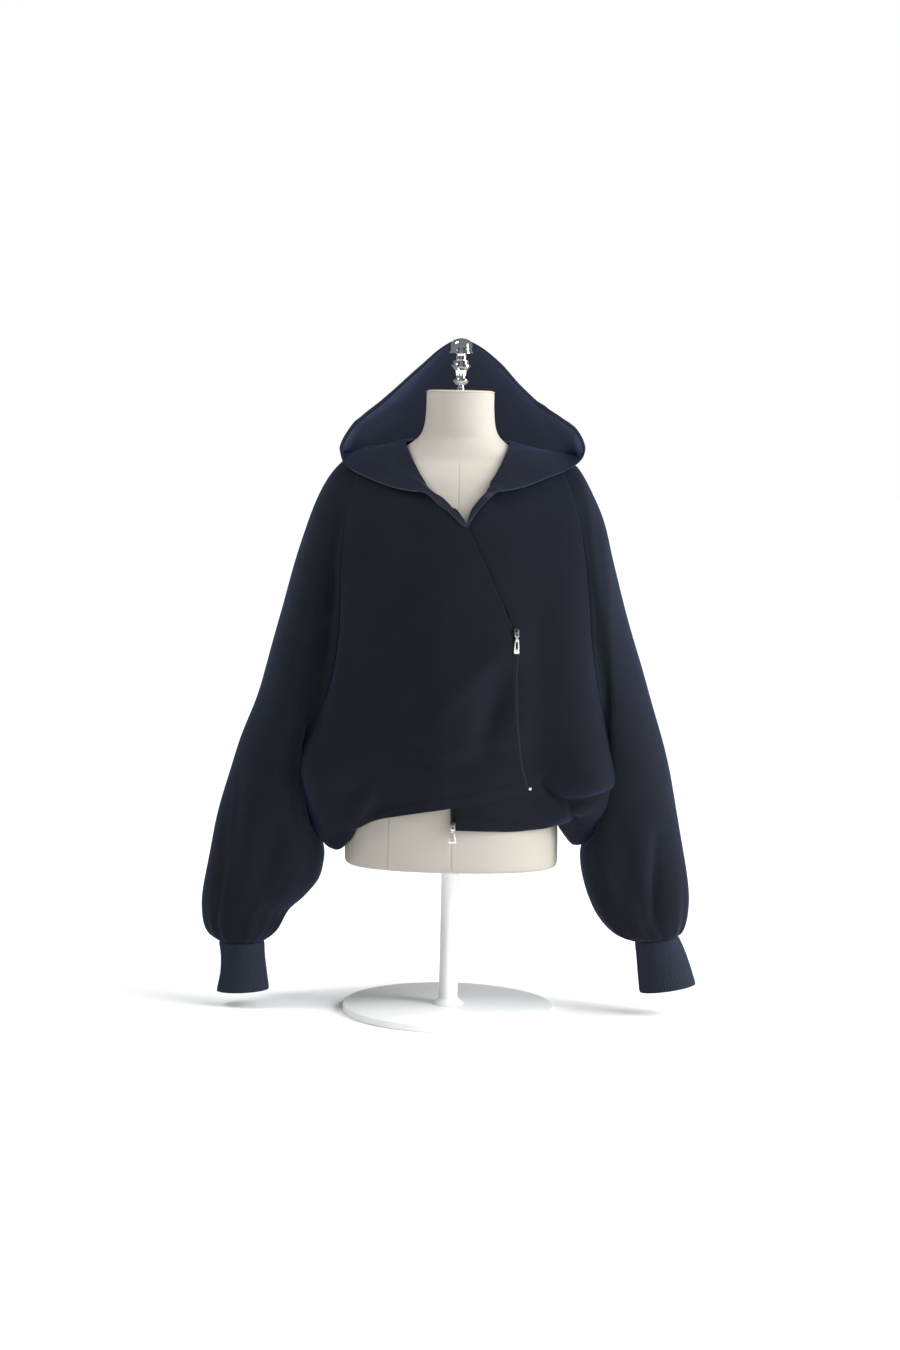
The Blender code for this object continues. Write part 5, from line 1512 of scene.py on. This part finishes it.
class HOODIE_OT_stage(bpy.types.Operator):
    """Makes the floor, the soft studio light and the camera"""
    bl_idname = "hoodie.stage"
    bl_label = "Studio"

    def execute(self, context):
        scene = context.scene
        mesh_data = bmesh.new()
        bmesh.ops.create_circle(mesh_data, cap_ends=True, radius=FLOOR_RADIUS, segments=96)
        placed("studio_floor", mesh_data, finish_named("studio_floor"))
        for name, (place, target, size, share) in SOFT_LIGHTS.items():
            area_light(name, place, target, size, scene.hoodie.key_power * share)
        fill = area_light("hood_fill", *HOOD_LIGHT, scene.hoodie.hood_fill)
        fill.light_linking.receiver_collection = gathered(
            "hood", ("left_hood_cloth", "right_hood_cloth"))
        fill.light_linking.blocker_collection = gathered("open_way", ("base_plate",))
        sun = bpy.data.lights.new("key", "SUN")
        sun.energy = scene.hoodie.sun
        sun.angle = math.radians(KEY_SPREAD)
        sun.color = KEY_COLOUR
        add_lamp("key", sun, KEY_WAY)
        self.flags()
        self.world(scene)
        self.camera(scene)
        scene.view_settings.view_transform = "Standard"
        return {"FINISHED"}

    def flags(self):
        """Dark cards beside the camera, seen only as reflections in the metal"""
        for name, place in FLAGS.items():
            mesh_data = bmesh.new()
            upright = Matrix.Translation(place) @ Matrix.Rotation(math.radians(90), 4, "X")
            bmesh.ops.create_grid(mesh_data, x_segments=1, y_segments=1, size=0.5, matrix=upright)
            card = placed(name, mesh_data, finish_named("flag_card"))
            card.visible_camera = False
            card.visible_diffuse = False
            card.visible_shadow = False

    def world(self, scene):
        """White air behind the form, with dimmer light for the cloth and the metal"""
        world = bpy.data.worlds.new("studio")
        world.use_nodes = True
        tree = world.node_tree
        tree.nodes.clear()
        seen = node(tree, "ShaderNodeBackground", (0, 100), SEEN_AIR).outputs[0]
        soft = node(tree, "ShaderNodeBackground", (0, -100), SOFT_AIR).outputs[0]
        glossy = node(tree, "ShaderNodeBackground", (0, -300), GLOSSY_AIR).outputs[0]
        path = node(tree, "ShaderNodeLightPath", (0, 400)).outputs
        light = node(tree, "ShaderNodeMixShader", (200, -200),
                     {0: path["Is Glossy Ray"], 1: soft, 2: glossy}).outputs[0]
        mix = node(tree, "ShaderNodeMixShader", (300, 0),
                   {0: path["Is Camera Ray"], 1: light, 2: seen}).outputs[0]
        node(tree, "ShaderNodeOutputWorld", (400, 0), {0: mix})
        scene.world = world

    def camera(self, scene):
        """Camera in front of the garment, a little above its middle"""
        camera = bpy.data.cameras.new("camera")
        camera.lens = LENS
        camera.sensor_width = SENSOR
        view = bpy.data.objects.new("camera", camera)
        look = (Vector(TARGET) - Vector(EYE)).to_track_quat("-Z", "Y").to_matrix()
        look = look @ Matrix.Rotation(math.radians(ROLL), 3, "Z")
        view.rotation_mode = "QUATERNION"
        view.rotation_quaternion = look.to_quaternion()
        view.location = EYE
        scene.collection.objects.link(view)
        scene.camera = view


class HOODIE_PT_panel(bpy.types.Panel):
    """Lists the pieces of the hoodie"""
    bl_idname = "HOODIE_PT_panel"
    bl_label = "Wrapped Zip Hoodie"
    bl_space_type = "VIEW_3D"
    bl_region_type = "UI"
    bl_category = "Hoodie"

    def draw(self, context):
        settings = context.scene.hoodie
        for name in settings.bl_rna.properties.keys():
            if name not in ("rna_type", "name"):
                self.layout.prop(settings, name)
        for operator in OPERATORS:
            self.layout.operator(operator.bl_idname)


OPERATORS = (HOODIE_OT_form, HOODIE_OT_finial, HOODIE_OT_stand, HOODIE_OT_body, HOODIE_OT_sleeves,
             HOODIE_OT_cuffs, HOODIE_OT_hood, HOODIE_OT_zips, HOODIE_OT_stage)


def register():
    bpy.utils.register_class(HoodieSettings)
    for operator in OPERATORS:
        bpy.utils.register_class(operator)
    bpy.utils.register_class(HOODIE_PT_panel)
    bpy.types.Scene.hoodie = PointerProperty(type=HoodieSettings)


def unregister():
    del bpy.types.Scene.hoodie
    bpy.utils.unregister_class(HOODIE_PT_panel)
    for operator in reversed(OPERATORS):
        bpy.utils.unregister_class(operator)
    bpy.utils.unregister_class(HoodieSettings)


def main():
    register()
    for operator in OPERATORS:
        group, name = operator.bl_idname.split(".")
        getattr(getattr(bpy.ops, group), name)()


if __name__ == "__main__":
    main()
